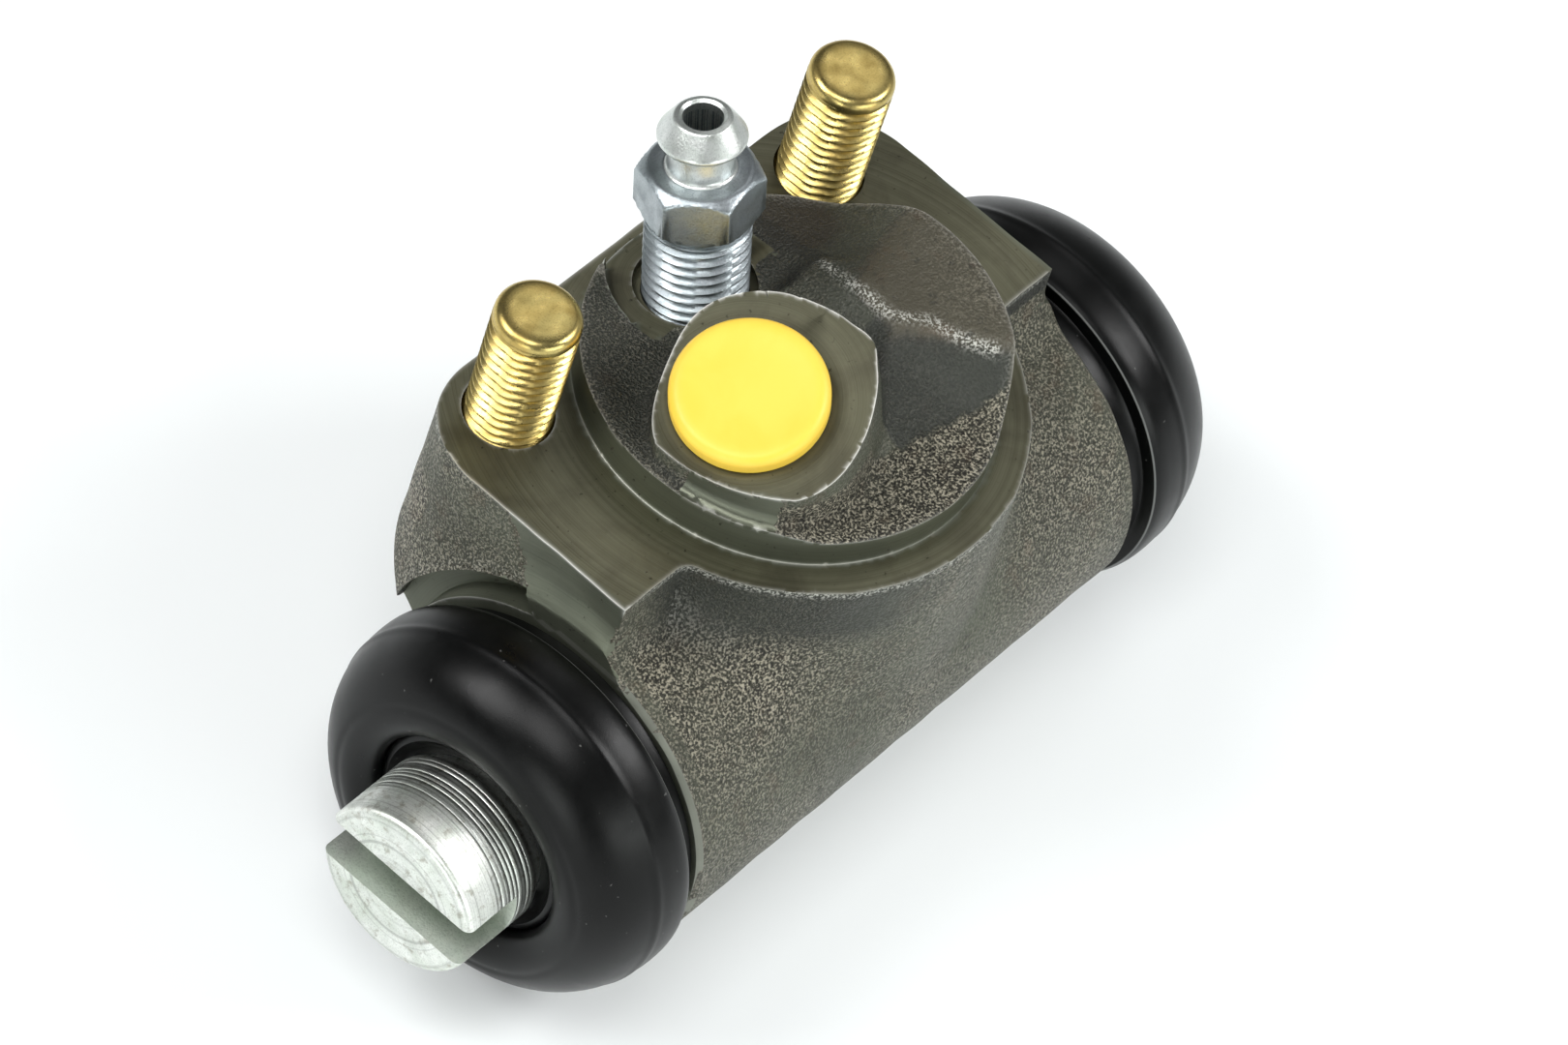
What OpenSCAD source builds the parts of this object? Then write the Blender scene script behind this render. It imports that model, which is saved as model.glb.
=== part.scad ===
// Twin-piston drum brake wheel cylinder, cast iron, with studs, bleed screw and inlet plug.
// Millimetres. X runs along the bore, +Z is the outward normal of the mounting face.
// The origin is the middle of the locating spigot, on the mounting face.

/* [Barrel] */
// Diameter of the bored and honed cylinder
bore_d = 25.4; // [19:0.05:32]
// Outside diameter of the cast barrel
barrel_d = 35.4; // [30:0.1:44]
// Half of the barrel's length, to the turned shoulder behind each boot
barrel_half = 30.3; // [26:0.1:36]
// Bore axis in front of (-) or behind (+) the spigot axis
bore_y = -5.3; // [-8:0.1:0]
// Bore axis below the mounting face
bore_z = -24.5; // [-30:0.1:-22]
// Length of the turned end that carries the boot
seat_len = 3.4; // [2.6:0.1:5]
// Diameter of the turned end's rim
seat_rim_d = 32; // [30:0.1:34]
// Diameter of the groove behind the rim
seat_groove_d = 30.4; // [28.6:0.1:31.4]
// Length of the groove behind the rim
seat_groove_len = 2.2; // [1.4:0.1:2.6]

/* [Mounting lugs] */
// Half of the lugs' width along the bore
lug_half = 29.1; // [26:0.1:32]
// Front edge of the lugs
lug_front = -6.9; // [-10:0.1:-4]
// Back edge of the lugs
lug_back = 20.6; // [18:0.1:24]
// Radius of the back corners
lug_corner_r = 9.2; // [6:0.1:10]
// Height of the lugs' upright back wall
lug_wall = 17; // [14:0.1:19]
// Rounding at the foot of the back wall
lug_heel = 3; // [2:0.1:5]
// Outside diameter of the round pad about the spigot
pad_d = 44.4; // [42:0.1:50]
// Draft of the pad's wall down to the barrel
pad_draft = 0.4; // [0:0.1:0.6]
// Diameter of the turned relief in each lug's end
relief_d = 40.6; // [38:0.1:44]
// Depth of that relief
relief_depth = 1.3; // [0.4:0.1:3]
// Height on the spigot axis of the line where the relief stops, short of each lug's plain front end
relief_stop_z = -8.8; // [-11:0.1:-7]
// Slope of that line
relief_stop_angle = 53.5; // [45:0.5:60]

/* [Spigot] */
// Diameter of the locating spigot
spigot_d = 38.1; // [34:0.1:42]
// Height of the spigot's cast top above the mounting face
spigot_h = 3.8; // [2.5:0.1:6]
// Height of the fully round register at its foot
register_h = 2; // [1:0.1:2.2]
// Height of the raised lump beside the inlet boss
lump_h = 7.7; // [5:0.1:10]
// Slope of the ramp between the lump and the inlet boss
ramp_angle = 25.5; // [15:0.5:40]
// Slope of the lump's front end
front_angle = 41; // [30:0.5:60]
// Slope of the lump's back end, beside the right stud
back_angle = 32.5; // [25:0.5:45]
// Height of the cast shelf between the bleed screw and the lump
shelf_h = 5.4; // [4.4:0.1:6.5]

/* [Inlet] */
// Lean of the inlet axis towards the left end
inlet_lean = 18; // [0:1:30]
// Middle of the inlet's face along the bore
inlet_x = -9.9; // [-12:0.1:-6]
// Middle of the inlet's face across the bore
inlet_y = -2; // [-4:0.1:0]
// Height of the inlet's face at its middle
inlet_z = 8.8; // [7:0.1:12]
// Radius of the inlet boss
boss_r = 10; // [8.5:0.1:11]
// Diameter of the inlet's threaded port
port_d = 8.6; // [7:0.1:9.4]
// Depth of the port
port_depth = 13; // [10:0.5:15]
// Diameter of the drilled ways into the bore
way_d = 3; // [2:0.1:3.4]

/* [Plug] */
// Diameter of the plug's head
plug_d = 14.1; // [11:0.1:16]
// Thickness of the plug's head
plug_h = 2.2; // [1.4:0.1:3.6]
// Length of the plug's stem
plug_stem = 8.5; // [5:0.1:10]
// Wall of the plug's hollow stem
plug_wall = 1.1; // [0.8:0.1:2]

/* [Bleed screw] */
// Lean of the bleed screw towards the back
bleed_lean = 13.2; // [0:0.1:18]
// Middle of the bleed hole's mouth across the bore
bleed_y = 11.7; // [10:0.1:13]
// Height of the bleed hole's mouth
bleed_z = 4; // [3:0.1:5]
// Thread diameter of the bleed screw
bleed_d = 9.52; // [8:0.01:10]
// Depth of the spot-face about the hole below that mouth
spot_sink = 0.6; // [0:0.1:0.9]
// Length of bare thread outside the casting
bleed_bare = 7; // [2:0.1:9]
// Length of the plain collar between thread and hexagon
bleed_collar = 1.5; // [0.5:0.1:2.5]
// Width of the hexagon across its flats
bleed_af = 10; // [9.8:0.1:12]
// Height of the hexagon
bleed_hex_h = 4.7; // [4:0.1:8]
// Diameter of the neck behind the hose barb
bleed_neck_d = 5.9; // [5.4:0.1:7]
// Length of that neck
bleed_neck_len = 2.6; // [1.5:0.1:4]
// Largest diameter of the hose barb
barb_d = 8; // [7:0.1:9]
// Diameter of the barb's mouth
barb_top_d = 5.2; // [4.4:0.1:6]
// Length of the barb
barb_len = 3.3; // [2.6:0.1:6]
// Diameter of the drilled hole in the barb
bleed_hole_d = 3.6; // [2:0.1:3.8]
// Length of thread inside the casting
bleed_in = 13.5; // [10:0.1:14]

/* [Studs] */
// Diameter of the mounting studs
stud_d = 7.94; // [6:0.01:9]
// Half of the distance between the studs
stud_x = 21; // [19:0.1:23]
// Distance of the studs behind the spigot axis
stud_y = 14.1; // [12:0.1:15]
// Length of the studs above the mounting face
stud_out = 14.2; // [10:0.1:24]
// Diameter of the studs' tight end inside the lugs
stud_root_d = 8.3; // [8:0.01:9.4]
// Length of the studs inside the lugs
stud_in = 14; // [8:0.5:15]
// Chamfer at the studs' ends
stud_chamfer = 0.9; // [0.3:0.1:1.4]

/* [Pistons] */
// Inner end of each piston, from the middle of the bore
piston_start = 13.5; // [12:0.1:16]
// Length of the piston's head that runs in the bore
piston_head = 17; // [13:0.1:18]
// How far the left piston's nose stands out past the barrel's shoulder
nose_out = 19.9; // [18:0.1:26]
// How much further in the right piston stands
right_in = 1.8; // [0:0.1:2.4]
// Diameter of the nose
nose_d = 16.9; // [16:0.1:19]
// Chamfer at the nose's end
nose_chamfer = 0.5; // [0.2:0.1:1]
// Width of the slot that takes the brake shoe
slot_w = 4.8; // [4.4:0.1:6]
// Depth of the slot
slot_depth = 6.3; // [4.5:0.1:7]

/* [Seals and spring] */
// Thickness of the cup seal's base
cup_base = 2.6; // [1.8:0.1:4]
// Length of the cup seal's lip
cup_lip = 3.6; // [2:0.1:4]
// Thickness of the cup seal's lip
cup_wall = 2; // [1.4:0.1:3]
// Thickness of the expander's plate
expander_t = 0.8; // [0.5:0.1:1.2]
// Length of the expander's stub inside the spring
stub_len = 2.2; // [1.2:0.1:3]
// Wire diameter of the return spring
wire_d = 1.2; // [0.8:0.1:1.6]
// Middle diameter of the return spring's coils
coil_d = 13.4; // [11:0.1:15]
// Number of turns in the return spring
turns = 5.5; // [4:0.5:7]

/* [Boots] */
// Largest diameter of the rubber boot
boot_d = 37.2; // [36:0.1:40]
// Distance of the largest diameter past the barrel's shoulder
boot_wide = 4.1; // [3.7:0.1:5]
// Distance of the boot's back edge past the barrel's shoulder
boot_rear = 2.1; // [1.8:0.1:2.6]
// Diameter of the boot's back edge
boot_rear_d = 36.6; // [35.4:0.1:37]
// Distance of the left boot's crown past the barrel's shoulder
left_crown = 12.1; // [11.4:0.1:13.6]
// The same of the right boot, which bulges more as its piston stands further in
right_crown = 13.6; // [11.4:0.1:14.6]
// Diameter of the crown's ridge
boot_ridge_d = 25; // [24:0.1:27]
// Distance of the dished ring inside the left crown past the barrel's shoulder
boot_dish = 10.4; // [9.8:0.1:10.6]
// Diameter of the dished ring
boot_dish_d = 20.4; // [19.6:0.1:21]
// Thickness of the rubber
boot_wall = 1.3; // [0.9:0.1:1.6]
// Length of the inner lip on the nose
lip_len = 1.9; // [1.2:0.1:2.4]
// Depth of the nose's groove for that lip
lip_groove = 1; // [0.5:0.1:1.5]

/* [Fits] */
// Radial running clearance of turned parts
run_gap = 0.05; // [0.02:0.01:0.1]
// Gap between seated faces
seat_gap = 0.05; // [0.02:0.01:0.2]

/* [Hidden] */
$fn = 96;
over = 0.5;
big = 60;
bore_r = bore_d / 2;
barrel_r = barrel_d / 2;
barrel_end = barrel_half + seat_len;
edge = 0.5;
seat_r = seat_rim_d / 2;
seat_groove_r = seat_groove_d / 2;
seat_groove_end = barrel_half + seat_groove_len;
bore_chamfer = 0.6;
lug_rise = 0.5;
lug_bite = 2.9;
pad_h = -bore_z - 2.5;
spigot_r = spigot_d / 2;
crown_r = spigot_r - 0.05;
stud_r = stud_d / 2;
stud_root_r = stud_root_d / 2;
press_gap = 0.02;
bleed_r = bleed_d / 2;
bleed_hole = bleed_r + run_gap;
spot_r = bleed_r + 3.2;
mouth_r = bleed_hole + 0.75;
mouth_depth = 1.4;
seat_cone = 3.2;
port_r = port_d / 2;
port_flare = 1.2;
piston_r = bore_r - run_gap;
piston_end = piston_start + piston_head;
head_chamfer = 0.8;
nose_r = nose_d / 2;
nose_end = barrel_half + nose_out;
lip_at = barrel_half + boot_dish - 1.5;
lip_play = 0.1;
groove_r = nose_r - lip_groove;
cup_start = piston_start - seat_gap - cup_base;
expander_start = cup_start - seat_gap - expander_t;
spring_half = expander_start - seat_gap;
spring_len = 2 * spring_half - right_in;
pitch = spring_len / turns;
boss_at = [1.25, -1.15];
boss_h = 20;
bump_at = [9.3, -3.3];
bump_r = 2.4;
ramp_foot = [1.3, -11.5];
ramp_strike = -11;
front_top = [11.1, -9.9];
front_strike = -46;
back_foot = [16.6, 8.4];
back_strike = 193;
lump_plan = [[10.3, 8.2], [10.9, 5.2], [9.5, 2.3], [8.5, -1.3], [8.2, -3.4], [4.6, -6.4], [0.2, -11.5],
             [1.2, -20], [22, -20], [22, 12], [14, 11]];
shelf_plan = [[3, 4], [8.4, 1.5], [12, 3], [11.5, 6.4], [10.4, 7.6], [7, 8.2], [3, 8.2]];

// Points of an elliptic arc about (u, v)
function arc(u, v, ru, rv, a0, a1, n) =
    [for (i = [0 : n]) [u + ru * cos(a0 + (a1 - a0) * i / n),
                        v + rv * sin(a0 + (a1 - a0) * i / n)]];

// Lays a shape that was made along +Z on the bore axis, pointing to the right end
module to_right() {
    translate([0, bore_y, bore_z]) rotate([0, 90, 0]) children();
}

// The same, pointing to the left end
module to_left() {
    translate([0, bore_y, bore_z]) rotate([0, -90, 0]) children();
}

// Turns a profile of [distance along the axis, radius] points about +Z
module turned(points) {
    rotate_extrude() polygon([for (p = points) [p[1], p[0]]]);
}

// Places a shape on the inlet axis, +Z out of the port's face
module at_inlet() {
    translate([inlet_x, inlet_y, inlet_z]) rotate([0, -inlet_lean, 0]) children();
}

// Places a shape on the bleed axis, +Z out of the hole's mouth
module at_bleed() {
    translate([0, bleed_y, bleed_z]) rotate([-bleed_lean, 0, 0]) children();
}

// Barrel with its turned ends: a shoulder, a groove and a rim for each boot
module barrel() {
    half = [[-over, 0],
            [-over, barrel_r],
            [barrel_half - edge, barrel_r],
            [barrel_half, barrel_r - edge],
            [barrel_half, seat_groove_r],
            [seat_groove_end, seat_groove_r],
            [seat_groove_end, seat_r - edge / 2],
            [seat_groove_end + edge / 2, seat_r],
            [barrel_end - edge, seat_r],
            [barrel_end, seat_r - edge],
            [barrel_end, 0]];
    to_right() turned(half);
    to_left() turned(half);
}

// Outline of the mounting face, seen from above
module lug_plan() {
    inner = lug_half - lug_corner_r;
    translate([-lug_half, lug_front]) square([2 * lug_half, lug_back - lug_corner_r - lug_front]);
    translate([-inner, lug_front]) square([2 * inner, lug_back - lug_front]);
    for (x = [-inner, inner])
        translate([x, lug_back - lug_corner_r]) circle(r = lug_corner_r);
}

// Section of the lugs across the bore, from the mounting face down to the barrel
module lug_section() {
    foot_z = bore_z + lug_rise;
    polygon(concat(
        [[lug_front, 0], [lug_back, 0]],
        arc(lug_back - lug_heel, -lug_wall, lug_heel, lug_heel, 0, -60, 8),
        [[bore_y + barrel_r - lug_bite, foot_z],
         [lug_front, foot_z]]));
}

// Turned relief about each barrel end, behind the lugs' plain front ends
module relief_cut() {
    difference() {
        union() {
            to_right() translate([0, 0, lug_half - relief_depth]) cylinder(d = relief_d, h = relief_depth + over);
            to_left() translate([0, 0, lug_half - relief_depth]) cylinder(d = relief_d, h = relief_depth + over);
        }
        above_slope([0, 0, relief_stop_z], 0, relief_stop_angle);
    }
}

// Solid lugs at both ends, less the relief
module lugs() {
    difference() {
        intersection() {
            translate([0, 0, -big]) linear_extrude(height = big) lug_plan();
            rotate([90, 0, 90]) translate([0, 0, -lug_half])
                linear_extrude(height = 2 * lug_half) lug_section();
        }
        relief_cut();
    }
}

// Round pad that carries the mounting face about the spigot
module pad() {
    intersection() {
        translate([0, 0, -pad_h]) cylinder(h = pad_h, r1 = pad_d / 2 + pad_draft, r2 = pad_d / 2);
        translate([-big, -big, -big]) cube([2 * big, big + lug_back, big]);
    }
}

// Everything above a slope that rises from a line through at, which runs along strike
module above_slope(at, strike, angle) {
    translate(at) rotate([0, 0, strike]) rotate([angle, 0, 0])
        translate([-big, -big, 0]) cube([2 * big, 2 * big, big]);
}

// Block of the lump, trimmed to the spigot's round and sloped at its back end
module lump_block() {
    difference() {
        intersection() {
            cylinder(r = crown_r, h = lump_h);
            linear_extrude(height = lump_h) polygon(lump_plan);
        }
        above_slope([back_foot[0], back_foot[1], spigot_h], back_strike, back_angle);
    }
}

// Raised lump beside the inlet: a ramp next to the boss and a steeper front end
module lump() {
    difference() {
        lump_block();
        above_slope([ramp_foot[0], ramp_foot[1], spigot_h], ramp_strike, ramp_angle);
    }
    difference() {
        lump_block();
        above_slope([front_top[0], front_top[1], lump_h], front_strike, front_angle);
    }
}

// Low cast shelf between the bleed screw and the lump
module shelf() {
    intersection() {
        cylinder(r = crown_r, h = shelf_h);
        linear_extrude(height = shelf_h) polygon(shelf_plan);
    }
}

// Inlet boss with its machined face, trimmed to the spigot's round
module inlet_boss() {
    intersection() {
        cylinder(r = crown_r, h = big);
        at_inlet() translate([0, 0, -boss_h]) union() {
            translate(boss_at) cylinder(r = boss_r, h = boss_h);
            translate(bump_at) cylinder(r = bump_r, h = boss_h);
        }
    }
}

// Spigot: a round register at the foot, the cast top, the boss and the lump
module spigot() {
    difference() {
        union() {
            translate([0, 0, -over]) cylinder(r = spigot_r, h = register_h + over);
            cylinder(r = crown_r, h = spigot_h);
            inlet_boss();
            lump();
            shelf();
        }
        at_bleed() translate([0, 0, -spot_sink]) cylinder(r = spot_r, h = big);
    }
}

// Threaded inlet port, its flared seat and the drilled way into the bore
module port_cut() {
    at_inlet() {
        translate([0, 0, -port_depth]) cylinder(r = port_r, h = port_depth + over);
        translate([0, 0, -edge]) cylinder(r1 = port_r, r2 = port_r + port_flare, h = port_flare);
        translate([0, 0, -port_depth - 1.8]) cylinder(r1 = way_d / 2, r2 = port_r, h = 1.8);
        translate([0, 0, bore_z / cos(inlet_lean)]) cylinder(d = way_d, h = -bore_z);
    }
}

// Threaded bleed hole with a counterbored mouth, a conical seat and a way into the bore
module bleed_cut() {
    seat_at = -bleed_in - press_gap - edge;
    at_bleed() {
        translate([0, 0, seat_at]) cylinder(r = bleed_hole, h = big);
        translate([0, 0, -mouth_depth]) cylinder(r = mouth_r, h = big);
        translate([0, 0, seat_at - seat_cone]) cylinder(r1 = way_d / 2, r2 = bleed_hole, h = seat_cone);
        translate([0, 0, bore_z]) cylinder(d = way_d, h = -bore_z);
    }
}

// Iron casting with every machined bore and hole
module cylinder_body() {
    color([0.27, 0.26, 0.23]) difference() {
        union() {
            barrel();
            lugs();
            pad();
            spigot();
        }
        to_right() translate([0, 0, -big]) cylinder(r = bore_r, h = 2 * big);
        to_right() translate([0, 0, barrel_end - bore_chamfer])
            cylinder(r1 = bore_r, r2 = bore_r + 2 * bore_chamfer, h = 2 * bore_chamfer);
        to_left() translate([0, 0, barrel_end - bore_chamfer])
            cylinder(r1 = bore_r, r2 = bore_r + 2 * bore_chamfer, h = 2 * bore_chamfer);
        for (x = [-stud_x, stud_x])
            translate([x, stud_y, -stud_in - edge]) cylinder(r = stud_root_r + press_gap, h = stud_in + 2 * edge);
        port_cut();
        bleed_cut();
    }
}

// Two mounting studs: a tight end in the lug, a thread outside it, chamfered at both ends
module mounting_studs() {
    color([0.80, 0.66, 0.32]) for (x = [-stud_x, stud_x])
        translate([x, stud_y, 0])
            turned([[-stud_in, 0],
                    [-stud_in, stud_root_r - stud_chamfer],
                    [-stud_in + stud_chamfer, stud_root_r],
                    [-edge, stud_root_r],
                    [0, stud_r],
                    [stud_out - stud_chamfer, stud_r],
                    [stud_out, stud_r - stud_chamfer],
                    [stud_out, 0]]);
}

// Bleed screw: conical tip, thread, collar, hexagon, neck and hose barb, drilled to a cross hole
module bleed_screw() {
    hex_at = bleed_bare + bleed_collar;
    neck_at = hex_at + bleed_hex_h;
    barb_at = neck_at + bleed_neck_len;
    barb_wide = barb_at + 0.8;
    top = barb_at + barb_len;
    hex_r = bleed_af / 2 / cos(30);
    hex_turn = 6;
    neck_r = bleed_neck_d / 2;
    barb_r = barb_d / 2;
    barb_top_r = barb_top_d / 2;
    tip_r = way_d / 2 + 0.1;
    cross_d = 1.8;
    color([0.74, 0.76, 0.76]) at_bleed() difference() {
        union() {
            turned([[-bleed_in - seat_cone, 0],
                    [-bleed_in - seat_cone, tip_r],
                    [-bleed_in - edge, bleed_r - edge],
                    [-bleed_in, bleed_r],
                    [hex_at, bleed_r],
                    [hex_at, neck_r],
                    [barb_at, neck_r],
                    [barb_wide, barb_r],
                    [barb_wide + edge, barb_r],
                    [top - edge, barb_top_r + edge / 2],
                    [top, barb_top_r - edge / 2],
                    [top, 0]]);
            intersection() {
                translate([0, 0, hex_at - edge]) rotate([0, 0, hex_turn])
                    cylinder(r = hex_r, h = bleed_hex_h + edge, $fn = 6);
                turned([[hex_at - edge, 0],
                        [hex_at - edge, bleed_r],
                        [hex_at + edge / 2, hex_r],
                        [neck_at - edge, hex_r],
                        [neck_at, hex_r - 2 * edge],
                        [neck_at, 0]]);
            }
        }
        translate([0, 0, -bleed_in + edge]) cylinder(d = bleed_hole_d - 2 * edge, h = big);
        translate([0, 0, hex_at]) cylinder(d = bleed_hole_d, h = big);
        translate([0, 0, -bleed_in + cross_d]) rotate([90, 0, 0]) cylinder(d = cross_d, h = big, center = true);
    }
}

// Push-in transit plug with a rounded head and a hollow stem
module inlet_plug() {
    stem_r = port_r - run_gap;
    hollow_r = stem_r - plug_wall;
    head_r = plug_d / 2;
    head_top = seat_gap + plug_h;
    round_r = plug_h / 2;
    color([0.98, 0.86, 0.16]) at_inlet() turned(concat(
        [[head_top - plug_wall, 0],
         [head_top - plug_wall, hollow_r],
         [-plug_stem, hollow_r],
         [-plug_stem, stem_r - edge],
         [-plug_stem + edge, stem_r],
         [seat_gap, stem_r],
         [seat_gap, head_r - edge / 2],
         [seat_gap + edge / 2, head_r]],
        arc(head_top - round_r, head_r - round_r, round_r, round_r, 90, 0, 8),
        [[head_top, 0]]));
}

// Turned piston: a head that runs in the bore and a slotted nose with a groove for the boot
module piston() {
    lip_end = lip_at + lip_len;
    difference() {
        turned([[piston_start, 0],
                [piston_start, piston_r - head_chamfer],
                [piston_start + head_chamfer, piston_r],
                [piston_end - head_chamfer, piston_r],
                [piston_end, piston_r - head_chamfer],
                [piston_end, nose_r],
                [lip_at - lip_play, nose_r],
                [lip_at - lip_play, groove_r],
                [lip_end + lip_play, groove_r],
                [lip_end + lip_play, nose_r],
                [nose_end - nose_chamfer, nose_r],
                [nose_end, nose_r - nose_chamfer],
                [nose_end, 0]]);
        translate([-slot_w / 2, -nose_d, nose_end - slot_depth]) cube([slot_w, 2 * nose_d, slot_depth + over]);
    }
}

// Left piston
module left_piston() {
    color([0.76, 0.77, 0.76]) to_left() piston();
}

// Right piston
module right_piston() {
    color([0.76, 0.77, 0.76]) to_right() translate([0, 0, -right_in]) piston();
}

// Rubber cup seal: a base against the piston and a lip along the bore
module cup_seal() {
    base_end = cup_start + cup_base;
    lip_end = cup_start - cup_lip;
    turned([[base_end, 0],
            [base_end, piston_r - head_chamfer],
            [base_end - head_chamfer, piston_r - 0.2],
            [cup_start, piston_r - 0.1],
            [lip_end + edge, piston_r],
            [lip_end, piston_r - edge],
            [cup_start - edge, piston_r - cup_wall],
            [cup_start, piston_r - cup_wall - edge],
            [cup_start, 0]]);
}

// Left cup seal
module left_cup_seal() {
    color([0.06, 0.06, 0.06]) to_left() cup_seal();
}

// Right cup seal
module right_cup_seal() {
    color([0.06, 0.06, 0.06]) to_right() translate([0, 0, -right_in]) cup_seal();
}

// Pressed steel expander: a plate on the cup's base and a stub that centres the spring
module cup_expander() {
    plate_r = piston_r - cup_wall - 2 * edge;
    stub_r = (coil_d - wire_d) / 2 - edge / 2;
    stub_end = expander_start - stub_len;
    turned([[expander_start + expander_t, 0],
            [expander_start + expander_t, plate_r],
            [expander_start, plate_r],
            [expander_start, stub_r],
            [stub_end + edge, stub_r],
            [stub_end, stub_r - edge],
            [stub_end, 0]]);
}

// Left cup expander
module left_cup_expander() {
    color([0.62, 0.63, 0.64]) to_left() cup_expander();
}

// Right cup expander
module right_cup_expander() {
    color([0.62, 0.63, 0.64]) to_right() translate([0, 0, -right_in]) cup_expander();
}

// Light coil spring of round wire that keeps the cups apart, with ground ends
module return_spring() {
    wire_r = wire_d / 2;
    coil_r = coil_d / 2;
    span = 360 * wire_r / pitch;
    steps = 4;
    side = [for (i = [-steps : steps]) i / steps];
    wire = concat(
        [for (t = side) let (w = coil_r + wire_r * sqrt(1 - t * t)) [w * cos(t * span), w * sin(t * span)]],
        [for (i = [1 : 2 * steps - 1]) let (t = 1 - i / steps, w = coil_r - wire_r * sqrt(1 - t * t))
            [w * cos(t * span), w * sin(t * span)]]);
    color([0.55, 0.56, 0.57]) to_right() translate([0, 0, -spring_half])
        linear_extrude(height = spring_len, twist = -360 * turns, slices = round(turns * 20), $fn = 8)
            polygon(wire);
}

// Moulded rubber boot: a bead in the barrel's groove, a wide roll, a dished crown and a lip on the nose
module boot(crown_out, inward) {
    bead_r = seat_groove_r + seat_gap;
    rim_r = seat_r + seat_gap;
    bead_play = 0.15;
    bead_start = barrel_half + bead_play;
    bead_end = seat_groove_end - bead_play;
    neck_r = rim_r + 0.7;
    rear = barrel_half + boot_rear;
    rear_r = boot_rear_d / 2 - edge / 2;
    wide = barrel_half + boot_wide;
    wide_r = boot_d / 2;
    crown = barrel_half + crown_out;
    ridge_r = boot_ridge_d / 2;
    dish = barrel_half + boot_dish - inward;
    dish_r = boot_dish_d / 2;
    fold_r = ridge_r - dish_r;
    fold = min(crown - dish, fold_r);
    lip_start = lip_at - inward;
    lip_end = lip_start + lip_len;
    lip_r = groove_r + seat_gap;
    collar_r = nose_r + edge;
    outer = concat(
        [[bead_start, neck_r], [rear - edge / 2, neck_r], [rear, neck_r + edge / 2], [rear, rear_r]],
        arc(wide, rear_r, wide - rear, wide_r - rear_r, 150, 90, 4),
        arc(wide, ridge_r, crown - wide, wide_r - ridge_r, 84, 0, 14),
        arc(crown - fold, ridge_r, fold, fold_r, -12, -84, 6),
        [[dish - edge / 2, dish_r], [dish - edge / 2, collar_r], [lip_end, collar_r], [lip_end, lip_r]]);
    inner = concat(
        [[lip_start, lip_r], [lip_start, collar_r], [dish - boot_wall, dish_r]],
        arc(crown - fold, ridge_r, fold - boot_wall, fold_r - boot_wall, -80, 0, 4),
        arc(wide, ridge_r, crown - wide - boot_wall, wide_r - boot_wall - ridge_r, 8, 90, 10),
        [[barrel_end + seat_gap, rim_r + edge],
         [barrel_end - edge, rim_r],
         [bead_end + edge, rim_r],
         [bead_end, rim_r - edge],
         [bead_end, bead_r],
         [bead_start, bead_r]]);
    turned(concat(outer, inner));
}

// Left boot
module left_boot() {
    color([0.05, 0.05, 0.05]) to_left() boot(left_crown, 0);
}

// Right boot
module right_boot() {
    color([0.05, 0.05, 0.05]) to_right() boot(right_crown, right_in);
}

cylinder_body();
mounting_studs();
bleed_screw();
inlet_plug();
left_piston();
right_piston();
left_cup_seal();
right_cup_seal();
left_cup_expander();
right_cup_expander();
return_spring();
left_boot();
right_boot();
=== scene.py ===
import math

import bpy
import numpy as np
from mathutils import Matrix, Vector


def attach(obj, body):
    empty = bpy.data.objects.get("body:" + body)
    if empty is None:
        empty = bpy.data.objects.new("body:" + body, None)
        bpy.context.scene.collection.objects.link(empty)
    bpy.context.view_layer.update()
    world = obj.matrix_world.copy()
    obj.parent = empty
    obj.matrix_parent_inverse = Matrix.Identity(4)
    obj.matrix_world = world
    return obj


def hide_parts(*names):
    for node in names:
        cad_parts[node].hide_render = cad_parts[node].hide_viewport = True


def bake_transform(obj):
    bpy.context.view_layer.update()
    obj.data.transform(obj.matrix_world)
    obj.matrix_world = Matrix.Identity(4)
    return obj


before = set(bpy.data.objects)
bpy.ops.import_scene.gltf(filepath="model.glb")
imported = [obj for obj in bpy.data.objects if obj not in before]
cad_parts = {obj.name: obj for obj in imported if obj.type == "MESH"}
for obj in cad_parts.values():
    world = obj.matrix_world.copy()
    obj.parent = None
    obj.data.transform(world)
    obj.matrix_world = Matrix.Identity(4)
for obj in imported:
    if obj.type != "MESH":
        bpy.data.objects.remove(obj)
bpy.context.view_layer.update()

MM = 0.001

# Sizes in millimetres, as in the part's source
BORE_R, BARREL_R, BARREL_HALF = 12.7, 17.7, 30.3
BORE_Y, BORE_Z = -5.3, -24.5
SEAT_END, SEAT_R, GROOVE_R, GROOVE_END = 33.7, 16.0, 15.2, 32.5
LUG_HALF, LUG_FRONT, LUG_BACK, LUG_CORNER = 29.1, -6.9, 20.3, 9.1
LUG_DRAFT, END_CHAMFER, BOSS_TURNED_R = 0.028, 0.5, 18.05
PAD_R, PAD_DRAFT, PAD_H = 22.2, 0.018, 22.0
RELIEF_R, RELIEF_X = 20.3, 27.8
SPIGOT_R, CROWN_Z, LUMP_Z, SHELF_Z = 19.05, 3.8, 7.7, 5.4
INLET, INLET_LEAN, PORT_R, PORT_DEPTH = np.array([-9.9, -2.0, 8.8]), math.radians(18), 4.3, 13.0
BLEED, BLEED_LEAN, BLEED_R, SPOT_R = np.array([0.0, 11.7, 4.0]), math.radians(13.2), 4.76, 7.96
SPOT_SINK = 0.6
STUD_X, STUD_Y, STUD_R, STUD_ROOT_R, STUD_OUT, STUD_IN = 21.0, 14.1, 3.97, 4.15, 14.2, 14.0
PITCH, THREAD_DEPTH = 25.4 / 24, 0.56
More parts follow.
